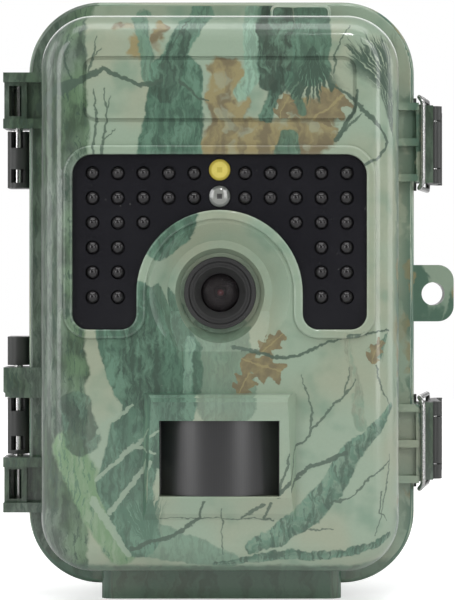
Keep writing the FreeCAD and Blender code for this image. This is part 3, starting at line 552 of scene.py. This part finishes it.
# %% Hollow mask
PARTING, CASE_MIDDLE = -12.1, 69.6   # the plane where the halves meet, and the case's middle height
HALF_WIDTH, HALF_HEIGHT = 39.3, 61.2  # middle of the wall's thickness at that plane
CORNER = 11.0                        # and the radius of its corners


def make_hollow():
    group, w, given, out = new_group("hollow_side", {"Way": "Float", "Slope": "Float", "Deepest": "Float"},
                                     {"Mask": "Float"})
    x, y, z = w.parts(w.place_in_mm(), "xyz")
    depth = w.math("MULTIPLY", w.math("SUBTRACT", y, PARTING), given["Way"])
    limit = w.math("MULTIPLY_ADD", w.math("MULTIPLY", depth, -1.0), given["Slope"], HALF_WIDTH)
    arc_start = w.math("SUBTRACT", limit, CORNER)
    past_side = w.math("SUBTRACT", w.math("ABSOLUTE", x), arc_start)
    up = w.math("ABSOLUTE", w.math("SUBTRACT", z, CASE_MIDDLE))
    past_end = w.math("SUBTRACT", up, w.math("ADD", arc_start, HALF_HEIGHT - HALF_WIDTH))
    arm = w.join(w.math("MAXIMUM", past_side, 0.0), w.math("MAXIMUM", past_end, 0.0))
    from_wall = w.math("SUBTRACT", CORNER, w.vector("LENGTH", arm))
    nearest = w.math("MINIMUM", from_wall, w.math("SUBTRACT", given["Deepest"], depth))
    w.feed(out["Mask"], w.step(nearest, -0.05, 0.05))
    return group


HOLLOW = make_hollow()
print("hollow mask:", len(HOLLOW.nodes), "nodes")


# %% Camouflage materials
OLIVE = (0.040, 0.050, 0.038)


def camouflage(name, face, way, shift, mirror, slope, deepest):
    material, w, shader = start_material(name, Coat_Roughness=0.10)
    place = w.use(WRAP, Face=face / MM, Way=way)["Place"]
    place = w.vector("ADD", w.vector("MULTIPLY", place, (mirror, 1.0, 1.0)), (*shift, 0.0))
    printed = w.use(PRINT, Place=place)
    worn = w.use(HANDLING, Low=0.36, High=0.50)
    colour = w.mix(w.math("MULTIPLY", worn["Dust"], 0.25), printed["Colour"], (0.55, 0.55, 0.48))
    hollow = w.use(HOLLOW, Way=-way, Slope=slope, Deepest=deepest)["Mask"]
    w.feed(shader["Base Color"], w.mix(hollow, colour, OLIVE))
    w.feed(shader["Roughness"], worn["Roughness"])
    w.feed(shader["Coat Weight"], w.math("MULTIPLY_ADD", hollow, -0.75, 0.85))
    w.feed(shader["Normal"], bump(w, printed["Relief"], 0.02, 0.35))
    return material


HOOD_DEPTH = 4.2 * MM  # how far the motion sensor's hood stands out from the face
FRONT_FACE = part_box("front_housing")[0].y + HOOD_DEPTH
REAR_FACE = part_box("rear_case")[1].y
CAMO_FRONT = camouflage("camouflage_front", FRONT_FACE, way=1.0, shift=(0.0, 0.0), mirror=1.0, slope=0.040,
                        deepest=22.8)
CAMO_REAR = camouflage("camouflage_rear", REAR_FACE, way=-1.0, shift=(4.0, -6.0), mirror=-1.0, slope=0.087,
                       deepest=28.9)
print("camouflage on a face at", round(FRONT_FACE / MM, 1), "mm")

# %% [markdown]
# ## Moulded plastics and rubber
# Most of the small parts differ only in colour, gloss and grain, so one function makes them all. The grain
# size is in millimetres, and its height is a few hundredths of one.


# %% Plastic materials
def plastic(name, colour, low, high, grain=0.25, height=0.01, coat=0.0, streak=(1.0, 1.0, 1.0), fade=0.3):
    material, w, shader = start_material(name, Coat_Weight=coat, Coat_Roughness=0.08)
    worn = w.use(HANDLING, Low=low, High=high)
    bumps = w.use(GRAIN, Size=grain, Stretch=streak)["Height"]
    lighter = tuple(min(1.0, c * (1 + fade) + 0.012 * fade) for c in colour)
    toned = w.mix(w.step(worn["Roughness"], low, high), colour, lighter)
    toned = w.mix(w.math("MULTIPLY", worn["Dust"], 0.35), toned, (0.45, 0.44, 0.40))
    w.feed(shader["Base Color"], toned)
    w.feed(shader["Roughness"], worn["Roughness"])
    w.feed(shader["Normal"], bump(w, bumps, height))
    return material


def metal(name, colour, low, high, streak=(1.0, 1.0, 1.0), grain=0.2, height=0.004, darker=0.6):
    material, w, shader = start_material(name, Metallic=1.0)
    worn = w.use(HANDLING, Low=low, High=high)
    lines = w.use(GRAIN, Size=grain, Stretch=streak)["Height"]
    shade = tuple(c * darker for c in colour)
    w.feed(shader["Base Color"], w.mix(w.step(lines, 0.35, 0.7), shade, colour))
    w.feed(shader["Roughness"], worn["Roughness"])
    w.feed(shader["Normal"], bump(w, lines, height))
    return material


SATIN_BLACK = plastic("satin_black", (0.030, 0.032, 0.030), 0.32, 0.48, grain=0.35, height=0.012)
GRAINED_BLACK = plastic("grained_black", (0.030, 0.033, 0.029), 0.50, 0.65, grain=0.5, height=0.05)
INNER_BLACK = plastic("inner_black", (0.020, 0.021, 0.022), 0.45, 0.60)
BEZEL_BLACK = plastic("bezel_black", (0.026, 0.026, 0.026), 0.24, 0.36, grain=0.3, height=0.006)
PANEL_GREY = plastic("inner_panel_grey", (0.060, 0.066, 0.062), 0.45, 0.62, grain=0.4, height=0.03)
TRAY_BLACK = plastic("tray_black", (0.030, 0.031, 0.030), 0.45, 0.60, grain=0.4, height=0.02)
KEY_RUBBER = plastic("key_rubber", (0.075, 0.078, 0.082), 0.55, 0.70, grain=0.2, height=0.01)
SEAL_RUBBER = plastic("seal_rubber", (0.018, 0.018, 0.019), 0.50, 0.65, grain=0.3, height=0.02)
SWITCH_RED = plastic("switch_red", (0.38, 0.035, 0.022), 0.35, 0.50)
SCREEN_GREY = plastic("screen_module_grey", (0.11, 0.115, 0.12), 0.35, 0.5)
SPEAKER_BLACK = plastic("speaker_black", (0.022, 0.022, 0.024), 0.5, 0.7, grain=0.6, height=0.06)
PIN_STEEL = metal("pin_steel", (0.74, 0.74, 0.73), 0.14, 0.26, (1.0, 1.0, 0.1))
WIRE_STEEL = metal("wire_steel", (0.62, 0.62, 0.61), 0.16, 0.30, (0.4, 0.4, 0.4))
ZINC = metal("zinc_plate", (0.58, 0.59, 0.61), 0.28, 0.42, (1.0, 0.3, 1.0))
NICKEL = metal("nickel_plate", (0.66, 0.64, 0.60), 0.22, 0.34)
GOLD = metal("gold_plate", (0.83, 0.62, 0.27), 0.18, 0.30)
BRASS = metal("turned_brass", (0.66, 0.48, 0.20), 0.24, 0.38, (1.0, 1.0, 6.0))
BLACK_ALLOY = metal("black_anodised", (0.045, 0.045, 0.047), 0.30, 0.45, (1.0, 5.0, 1.0))
print("plain finishes:", len(bpy.data.materials))

# %% [markdown]
# ## Lamps, lenses and windows
# The infrared lamps sit behind smoked plastic, so panel and domes are nearly black and only their gloss
# shows. The status lamp is tinted epoxy with a bright cup inside, and the light sensor is clear epoxy over
# a square die. Both are seen head on, so rings and a square drawn round their centres give what the eye
# finds in the real ones.


# %% Glossy dark materials
def make_rings():
    """Millimetres from a centre line along Y, and the larger of the two offsets, for square shapes."""
    group, w, given, out = new_group("about_centre", {"Centre": "Vector"},
                                     {"Radius": "Float", "Square": "Float"})
    place = w.place_in_mm()
    x, z = w.parts(w.vector("SUBTRACT", place, given["Centre"]), "xz")
    w.feed(out["Radius"], w.vector("LENGTH", w.join(x, z)))
    w.feed(out["Square"], w.math("MAXIMUM", w.math("ABSOLUTE", x), w.math("ABSOLUTE", z)))
    return group


ABOUT = make_rings()
PANEL = plastic("smoked_panel", (0.0085, 0.0085, 0.011), 0.10, 0.20, grain=2.5, height=0.004, coat=0.4)
DOME = plastic("infrared_epoxy", (0.010, 0.009, 0.010), 0.04, 0.09, grain=1.0, height=0.002)


def middle(node):
    low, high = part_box(node)
    return (low + high) / 2 / MM


def lamp_material(name, node, rim, cup, die):
    material, w, shader = start_material(name, Coat_Weight=1.0, Coat_Roughness=0.04)
    centre = middle(node)
    rings = w.use(ABOUT, Centre=tuple(centre))
    colour = w.mix(w.step(rings["Radius"], 2.0, 1.6), rim, cup)
    colour = w.mix(w.step(rings["Square"], 0.62, 0.52), colour, die)
    facets = w.noise(w.place_in_mm(), 0.9, 2.0)
    colour = w.mix(thin(w, facets, 0.30), colour, tuple(c * 0.4 for c in cup))
    w.feed(shader["Base Color"], colour)
    w.feed(shader["Roughness"], w.use(HANDLING, Low=0.10, High=0.22)["Roughness"])
    return material


STATUS = lamp_material("status_epoxy", "status_led", rim=(0.42, 0.34, 0.05), cup=(0.68, 0.58, 0.14),
                       die=(0.52, 0.43, 0.08))
SENSOR = lamp_material("sensor_epoxy", "light_sensor", rim=(0.10, 0.11, 0.10), cup=(0.24, 0.25, 0.23),
                       die=(0.05, 0.05, 0.05))
print("lamp finishes ready")

# %% [markdown]
# ## The lens and the motion sensor's window
# The front glass lets most light through, tinted by its transmission colour and darker towards its rim. The
# magenta at the centre is a painted reflection, laid in the colour of the small element behind it. The
# sensor's window is dark polyethylene with fine upright flutes that spread reflections.


# %% Lens and window materials
def make_glass():
    material, w, shader = start_material("coated_glass", Transmission_Weight=0.96, IOR=1.12)
    rings = w.use(ABOUT, Centre=tuple(middle("lens_glass")))
    rim = w.step(rings["Radius"], 2.0, 4.1)
    w.feed(shader["Base Color"], w.mix(rim, (0.50, 0.46, 0.47), (0.14, 0.12, 0.13)))
    w.feed(shader["Roughness"], w.use(HANDLING, Low=0.01, High=0.05)["Roughness"])
    return material


def make_inner_lens_painted_reflection():
    material, w, shader = start_material("inner_lens_painted_reflection", Specular_IOR_Level=0.12)
    rings = w.use(ABOUT, Centre=tuple(middle("lens_glass")))["Radius"]
    # painted reflection: the magenta ring and the pale pink spot at the centre stand in for the light the
    # coated element sends back
    painted_magenta_reflection = w.mix(w.step(rings, 0.75, 0.55), (0.006, 0.004, 0.005), (0.30, 0.075, 0.085))
    w.feed(shader["Base Color"], w.mix(w.step(rings, 0.26, 0.16), painted_magenta_reflection, (0.90, 0.55, 0.58)))
    w.feed(shader["Roughness"], w.use(HANDLING, Low=0.12, High=0.20)["Roughness"])
    return material


FLUTE_PITCH = 0.55


def make_motion_window():
    material, w, shader = start_material("motion_window", Specular_IOR_Level=0.80)
    x = w.parts(w.place_in_mm(), "x")
    flutes = w.math("SINE", w.math("MULTIPLY", x, 2 * math.pi / FLUTE_PITCH))
    worn = w.use(HANDLING, Low=0.27, High=0.33)
    # painted highlight: the crests of the flutes are a shade lighter, standing in for light caught along them
    crest_painted_highlight = w.step(flutes, -1.0, 1.0)
    w.feed(shader["Base Color"], w.mix(crest_painted_highlight, (0.011, 0.011, 0.012), (0.015, 0.015, 0.016)))
    w.feed(shader["Roughness"], worn["Roughness"])
    w.feed(shader["Normal"], bump(w, flutes, 0.0012))
    return material


GLASS, INNER_LENS_PAINTED_REFLECTION, MOTION = make_glass(), make_inner_lens_painted_reflection(), make_motion_window()


# %% [markdown]
# ## Circuit boards, screen, cells and card
# These are seen only with the door open. A board is green mask over copper tracks, with tinned pads. The
# screen is off, so its cover shows a dark sheet with a paler border. The cells wear a two-colour wrap with
# bare ends.


# %% Inner materials
def make_board():
    material, w, shader = start_material("circuit_board", Coat_Weight=0.3, Coat_Roughness=0.2)
    place = w.place_in_mm()
    x, y, z = w.parts(place, "xyz")
    tracks = w.feed_all(w.put("TexBrick", offset=0.35, squash=0.6), Vector=w.join(x, z), Scale=0.55,
                        Mortar_Size=0.055, Brick_Width=1.3, Row_Height=0.42)["Fac"]
    mask = w.mix(tracks, (0.012, 0.075, 0.030), (0.030, 0.150, 0.060))
    spots = w.feed_all(w.put("TexVoronoi", feature="F1"), Vector=w.join(x, z), Scale=0.30)["Distance"]
    pads = w.math("MULTIPLY", w.step(spots, 0.16, 0.13), w.step(w.noise(place, 0.05), 0.45, 0.55))
    board_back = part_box("main_board")[1].y / MM
    rise = w.math("GREATER_THAN", y, board_back + 1.0)
    w.feed(shader["Base Color"], w.mix(pads, mask, (0.62, 0.60, 0.52)))
    w.feed(shader["Metallic"], w.math("MULTIPLY", pads, w.math("SUBTRACT", 1.0, rise)))
    w.feed(shader["Roughness"], w.use(HANDLING, Low=0.35, High=0.5)["Roughness"])
    w.feed(shader["Normal"], bump(w, tracks, 0.03))
    return material


SCREEN_BORDER = 3.0


def make_screen():
    material, w, shader = start_material("screen_cover", Coat_Weight=0.6, Coat_Roughness=0.03)
    low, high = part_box("lcd_window")
    half = (high - low) / 2 / MM
    place = w.vector("SUBTRACT", w.place_in_mm(), tuple(middle("lcd_window")))
    x, z = w.parts(place, "xz")
    border = w.math("MAXIMUM", w.math("SUBTRACT", w.math("ABSOLUTE", x), half.x - SCREEN_BORDER),
                    w.math("SUBTRACT", w.math("ABSOLUTE", z), half.z - SCREEN_BORDER))
    frame_mask = w.step(border, -0.05, 0.05)
    w.feed(shader["Base Color"], w.mix(frame_mask, (0.016, 0.019, 0.024), (0.006, 0.006, 0.007)))
    w.feed(shader["Roughness"], w.use(HANDLING, Low=0.08, High=0.22)["Roughness"])
    return material


CELL_ROWS, CELL_PITCH, CELL_Y = (42.0, 97.2), 14.9, 5.5  # middle heights of two rows of four, spacing, depth
CELL_ENDS, BAND_OFFSET, BAND_HALF = 23.7, 13.0, 6.1      # where the bare ends and the pale band lie on a cell


def make_cells():
    material, w, shader = start_material("cell_wrap", Coat_Weight=0.5, Coat_Roughness=0.1)
    z = w.parts(w.place_in_mm(), "z")
    def nearest(shift):
        offsets = [w.math("SUBTRACT", z, row + shift) for row in CELL_ROWS]
        return w.math("MINIMUM", *[w.math("ABSOLUTE", offset) for offset in offsets])

    band = w.step(nearest(BAND_OFFSET), BAND_HALF + 0.1, BAND_HALF - 0.1)
    wrap = w.mix(band, (0.018, 0.060, 0.034), (0.50, 0.42, 0.16))
    ends = w.step(nearest(0.0), CELL_ENDS - 0.1, CELL_ENDS + 0.1)
    w.feed(shader["Base Color"], w.mix(ends, wrap, (0.62, 0.62, 0.60)))
    w.feed(shader["Metallic"], ends)
    w.feed(shader["Roughness"], w.use(HANDLING, Low=0.26, High=0.40)["Roughness"])
    return material


def make_card():
    material, w, shader = start_material("card_shell")
    label_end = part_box("memory_card")[1].y / MM - 1.25
    label = w.step(w.parts(w.place_in_mm(), "y"), label_end + 0.05, label_end - 0.05)
    w.feed(shader["Base Color"], w.mix(label, (0.014, 0.026, 0.085), (0.32, 0.34, 0.36)))
    w.feed(shader["Roughness"], w.use(HANDLING, Low=0.35, High=0.5)["Roughness"])
    return material


BOARD, SCREEN, CELLS, CARD = make_board(), make_screen(), make_cells(), make_card()
print("inner finishes ready")

# %% [markdown]
# ## Give every part its finish
# A part keeps its own mesh. Only the material in its slot changes.

# %% Assign finishes
FINISHES = {
    CAMO_FRONT: ["front_housing"], CAMO_REAR: ["rear_case"], PANEL: ["ir_window"], DOME: ["ir_leds"],
    STATUS: ["status_led"], SENSOR: ["light_sensor"], BEZEL_BLACK: ["lens_bezel"], GLASS: ["lens_glass"],
    BLACK_ALLOY: ["lens_barrel"], INNER_BLACK: ["lens_holder", "image_sensor"], MOTION: ["pir_lens"],
    BOARD: ["led_board", "main_board", "keypad_board"], PANEL_GREY: ["inner_frame"], SCREEN: ["lcd_window"],
    SCREEN_GREY: ["lcd_panel"], SPEAKER_BLACK: ["speaker", "microphone"], SEAL_RUBBER: ["door_seal"],
    BRASS: ["tripod_insert"], TRAY_BLACK: ["battery_tray"], CELLS: ["battery_cells"],
    NICKEL: ["battery_contacts", "battery_springs", "card_slot", "usb_port", "pir_sensor"],
    GOLD: ["power_pins", "power_contacts"], CARD: ["memory_card"], SWITCH_RED: ["mode_switch"],
    GRAINED_BLACK: ["tree_bracket"],
    ZINC: ["frame_screws", "tray_screws", "bracket_screws", "latch_screws"],
    SATIN_BLACK: ["upper_hinge_block", "lower_hinge_block", "lower_hinge_cap", "upper_latch_base",
                  "lower_latch_base", "upper_latch_lever", "lower_latch_lever"],
    PIN_STEEL: ["upper_hinge_pin", "lower_hinge_pin", "upper_latch_pin", "lower_latch_pin"],
    WIRE_STEEL: ["upper_latch_bail", "lower_latch_bail"],
    KEY_RUBBER: [name for name in NODES if name.endswith("_button")],
}
finished = set()
for material, names in FINISHES.items():
    for name in names:
        slots = NODES[name].data.materials
        for i in range(len(slots)):
            slots[i] = material
    finished.update(names)
print("without a finish:", sorted(set(NODES) - finished))

# %% [markdown]
# ## A helper for fine pieces
# Lens rings, springs and threads are surfaces swept round or along a line. Each maker below works out its
# points in millimetres, and this helper turns them into a smooth mesh, gives it its material and lets it ride
# on its body.


# %% Piece helper
def add_piece(name, points, faces, material, body, slot, smooth=True):
    mesh = bpy.data.meshes.new(name)
    mesh.from_pydata([tuple(c * MM for c in point) for point in points], [], faces)
    mesh.validate()
    for polygon in mesh.polygons:
        polygon.use_smooth = smooth
    mesh.materials.append(material)
    piece = bpy.data.objects.new(name, mesh)
    bpy.context.scene.collection.objects.link(piece)
    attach(piece, body)
    print(name, len(mesh.polygons), "faces on", body)
    return piece


def circle(radius, steps):
    """Points evenly round a circle, as pairs."""
    angles = [2 * math.pi * j / steps for j in range(steps)]
    return [(radius * math.cos(angle), radius * math.sin(angle)) for angle in angles]


def grid_faces(rows, columns, first=0, close_rows=False):
    """Quads between rows of points, where every row is a closed ring."""
    faces = []
    for i in range(rows if close_rows else rows - 1):
        for j in range(columns):
            here, there = first + i * columns, first + (i + 1) % rows * columns
            beside = (j + 1) % columns
            faces.append((here + j, here + beside, there + beside, there + j))
    return faces


# %% [markdown]
# ## Inside the lens
# Behind the front glass the barrel steps down through thin baffle rings to a small element whose colour holds
# a painted magenta reflection at the centre. The rings are one profile turned about the lens's axis.


# %% Baffle rings and inner element
def turned_about_y(profile, centre_z, steps=64):
    points = []
    for radius, y in profile:
        points += [(x, y, centre_z + z) for x, z in circle(radius, steps)]
    return points, grid_faces(len(profile), steps, close_rows=True)


def make_lens_inside():
    centre_z = middle("lens_glass").z
    mouth_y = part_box("lens_barrel")[0].y / MM + 0.15
    outside, narrower, spacing = 4.1, 0.42, 0.62
    profile = [(outside, mouth_y)]
    radius, y = outside, mouth_y
    for _ in range(5):
        lip, throat = radius - narrower, radius - 0.30
        profile += [(lip, y), (lip, y + 0.14), (throat, y + 0.14), (throat, y + spacing)]
        radius, y = lip, y + spacing
    profile += [(1.5, y), (1.5, y + 0.4), (outside, y + 0.4)]
    points, faces = turned_about_y(profile, centre_z)
    add_piece("lens_baffles", points, faces, INNER_BLACK, "door", "lens_metal")
    dome = [(0.02, y - 0.30), (0.5, y - 0.27), (1.0, y - 0.17), (1.45, y), (1.45, y + 0.35), (0.02, y + 0.35)]
    points, faces = turned_about_y(dome, centre_z)
    add_piece("lens_inner_element", points, faces, INNER_LENS_PAINTED_REFLECTION, "door", "lens_glass")


make_lens_inside()

# %% [markdown]
# ## Springs behind the cells
# A conical battery spring nests into an almost flat spiral once the cell is in. The wire is a circle swept
# along that spiral, eight times over, and the mesh takes the place of the plain cones of the engineering
# model.


# %% Battery springs
def spiral_wire(centre, up, outer, inner, rise, wire, turns=2.6, steps=90, around=8):
    points = []
    for i in range(steps + 1):
        t = i / steps
        angle = 2 * math.pi * turns * t
        radius = outer + (inner - outer) * t
        out = Vector((math.cos(angle), math.sin(angle), 0.0))
        middle_point = Vector(centre) + out * radius + Vector((0, 0, up * rise * t))
        points += [middle_point + out * a + Vector((0, 0, b)) for a, b in circle(wire, around)]
    ends = [tuple(range(around)), tuple(reversed(range(steps * around, (steps + 1) * around)))]
    return points, steps + 1, around, ends


SEAT = 25.94  # from a cell's middle to the wall that its spring stands on


def make_springs():
    points, faces = [], []
    wire = 0.24
    for row in CELL_ROWS:
        for i in range(4):
            up = 1 if i % 2 == 0 else -1
            x = (i - 1.5) * CELL_PITCH
            centre = (x, CELL_Y, row - up * (SEAT - wire))
            made, rows, around, ends = spiral_wire(centre, up, 4.2 - wire, 1.7, 0.40, wire)
            first = len(points)
            faces += grid_faces(rows, around, first) + [tuple(first + k for k in end) for end in ends]
            points += made
    piece = add_piece("battery_spring_coils", points, faces, NICKEL, "rear", "spring_wire")
    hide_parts("battery_springs")


make_springs()

# %% [markdown]
# ## The tripod thread
# The foot's brass insert carries a quarter-inch thread with twenty turns to the inch. The bore's radius
# rises and falls along the helix, so a fine grid of points round the bore is enough to make real flanks and
# crests.


# %% Tripod insert
def make_insert(pitch=1.27, minor=2.6, major=3.17, steps=48, lift=0.105):
    low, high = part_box("tripod_insert")
    depth = (high.z - low.z) / MM
    flange, body, flange_high = 4.95, 4.0, 0.75
    rings = [(flange, 0.0), (flange, flange_high), (body, flange_high), (body, depth)]
    points = [(x, y, z) for radius, z in rings for x, y in circle(radius, steps)]
    count = int(depth / lift)
    for i in range(count + 1):
        z = depth * (1 - i / count)
        fade = min(1.0, z / 0.5)
        for j, (x, y) in enumerate(circle(1.0, steps)):
            phase = (z / pitch - j / steps) % 1.0
            tooth = min(1.0, max(0.0, 2.6 * abs(phase - 0.5) - 0.15))
            radius = major + (minor - major) * tooth * fade
            points.append((radius * x, radius * y, z))
    faces = grid_faces(len(rings) + count + 1, steps, close_rows=True)
    piece = add_piece("threaded_insert", points, faces, BRASS, "rear", "insert_brass")
    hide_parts("tripod_insert")


make_insert()

# %% [markdown]
# ## Marks on the keys
# Rubber keys carry small raised marks that a finger can feel: arrows, three bars and a ring. Each is a flat
# shape given a little height, and it rides on its own key so it goes down with it.


# %% Key marks
def raised(outlines, face_y, height=0.12):
    """Flat shapes on a plane of constant Y, as closed prisms that stand on it."""
    points, faces = [], []
    for outline in outlines:
        count, first = len(outline), len(points)
        for y in (face_y - 0.02, face_y + height):
            points += [(x, y, z) for x, z in outline]
        faces.append(tuple(first + k for k in range(count)))
        faces.append(tuple(first + count + k for k in reversed(range(count))))
        faces += [(first + k, first + count + k, first + count + (k + 1) % count, first + (k + 1) % count)
                  for k in range(count)]
    return points, faces


def arrow(x, z, turn, size=1.15):
    corners = [(size, 0.0), (-size * 0.7, size), (-size * 0.7, -size)]
    c, s = math.cos(math.radians(turn)), math.sin(math.radians(turn))
    return [(x + a * c - b * s, z + a * s + b * c) for a, b in corners]


def bar(x, z, half_wide=1.5, half_tall=0.17):
    return [(x - half_wide, z - half_tall), (x + half_wide, z - half_tall), (x + half_wide, z + half_tall),
            (x - half_wide, z + half_tall)]


def ring_segments(x, z, outer=1.7, inner=1.25, count=28):
    near, far = [[(x + a, z + b) for a, b in circle(radius, count)] for radius in (inner, outer)]
    return [[near[k], far[k], far[(k + 1) % count], near[(k + 1) % count]] for k in range(count)]


KEY_MARK = plastic("key_mark_print", (0.42, 0.43, 0.42), 0.45, 0.60, grain=0.15, height=0.004)
ARROWS = {"up": 90, "down": -90, "left": 180, "right": 0, "play": 0}
for key in ("up", "down", "left", "right", "play", "menu", "ok"):
    centre = middle(key + "_button")
    face_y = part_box(key + "_button")[1].y / MM
    if key in ARROWS:
        shapes = [arrow(centre.x, centre.z, ARROWS[key])]
    elif key == "menu":
        shapes = [bar(centre.x, centre.z + lift) for lift in (-0.8, 0.0, 0.8)]
    else:
        shapes = ring_segments(centre.x, centre.z)
    add_piece(key + "_mark", *raised(shapes, face_y), KEY_MARK, key + "_key", "key_rubber", smooth=False)

# %% [markdown]
# ## The stage
# A pale floor runs into a white surround, and the camera sees both as plain white. The room behind the
# camera is dim, so flat black plastic stays black. Two wide soft boxes in front give the two upright bands
# that a curved dark window shows, a broad one above lays the long highlight on the case's shoulder, and a
# small one puts a spark on every lamp.


# %% Floor
def make_floor(half_size=0.9, glow=0.55):
    mesh = bpy.data.meshes.new("floor")
    corners = [(-half_size, -half_size, 0), (half_size, -half_size, 0), (half_size, half_size, 0),
               (-half_size, half_size, 0)]
    mesh.from_pydata(corners, [], [(0, 1, 2, 3)])
    floor = bpy.data.objects.new("floor", mesh)
    bpy.context.scene.collection.objects.link(floor)
    material, w, shader = start_material("pale_floor", Roughness=0.7)
    tone = w.noise(w.put("TexCoord").outputs["Object"], 9.0)
    w.feed(shader["Base Color"], w.mix(tone, (0.80, 0.80, 0.80), (0.86, 0.86, 0.86)))
    seen = w.put("LightPath").outputs["Is Camera Ray"]
    w.feed(shader["Emission Color"], (1.0, 1.0, 1.0))
    w.feed(shader["Emission Strength"], w.math("MULTIPLY", seen, glow))
    mesh.materials.append(material)
    print("floor is", 2 * half_size, "m wide")


make_floor()


# %% Surround
def make_surround(dim=0.07, bright=0.34):
    """White to the camera. To everything else it is dim behind the camera and brighter elsewhere."""
    world = bpy.data.worlds.new("studio")
    world.use_nodes = True
    bpy.context.scene.world = world
    w = Wiring(world.node_tree)
    background = world.node_tree.nodes["Background"]
    towards = w.parts(w.put("TexCoord").outputs["Generated"], "y")
    room = w.math("MULTIPLY_ADD", w.step(towards, -0.85, -0.45), bright - dim, dim)
    seen = w.put("LightPath").outputs["Is Camera Ray"]
    w.feed(background.inputs["Color"], (1.0, 1.0, 1.0))
    w.feed(background.inputs["Strength"], w.math("MAXIMUM", seen, room))
    print("surround:", len(world.node_tree.nodes), "nodes")


make_surround()


# %% Soft boxes
def soft_box(name, place, width, height, power, aim=(0.0, 0.0, 0.07)):
    light = bpy.data.lights.new(name, "AREA")
    light.shape, light.size, light.size_y, light.energy = "RECTANGLE", width, height, power
    box = bpy.data.objects.new(name, light)
    bpy.context.scene.collection.objects.link(box)
    box.location = place
    box.rotation_euler = (Vector(aim) - Vector(place)).to_track_quat("-Z", "Y").to_euler()
    return box


soft_box("above", (0.0, -0.35, 1.00), 1.1, 0.5, 4.6)
soft_box("left_front", (-0.66, -0.85, 0.25), 0.31, 0.9, 3.7)
soft_box("right_front", (0.48, -0.95, 0.25), 0.29, 0.9, 3.4)
soft_box("spark", (0.10, -0.75, 0.62), 0.08, 0.08, 0.7)
soft_box("left_side", (-0.95, -0.10, 0.30), 0.5, 0.9, 2.6)
soft_box("right_side", (0.95, -0.10, 0.30), 0.5, 0.9, 2.6)
soft_box("behind", (0.0, 0.95, 0.55), 1.2, 0.6, 3.2)

# %% [markdown]
# ## The camera
# A long lens set square to the face keeps the sides out of sight, as in a catalogue picture. A small shift
# of the sensor puts the lens's axis a little above and right of the case's middle without turning the
# camera.

# %% Camera
camera_data = bpy.data.cameras.new("catalogue_camera")
camera_data.lens, camera_data.sensor_width = 157.5, 36.0
camera_data.shift_x, camera_data.shift_y = -0.0642, -0.05
camera = bpy.data.objects.new("catalogue_camera", camera_data)
bpy.context.scene.collection.objects.link(camera)
camera.location = (0.01017, -0.617, 0.07475)
camera.rotation_euler = (math.pi / 2, 0.0, 0.0)
bpy.context.scene.camera = camera
bpy.context.scene.view_settings.view_transform = "Standard"
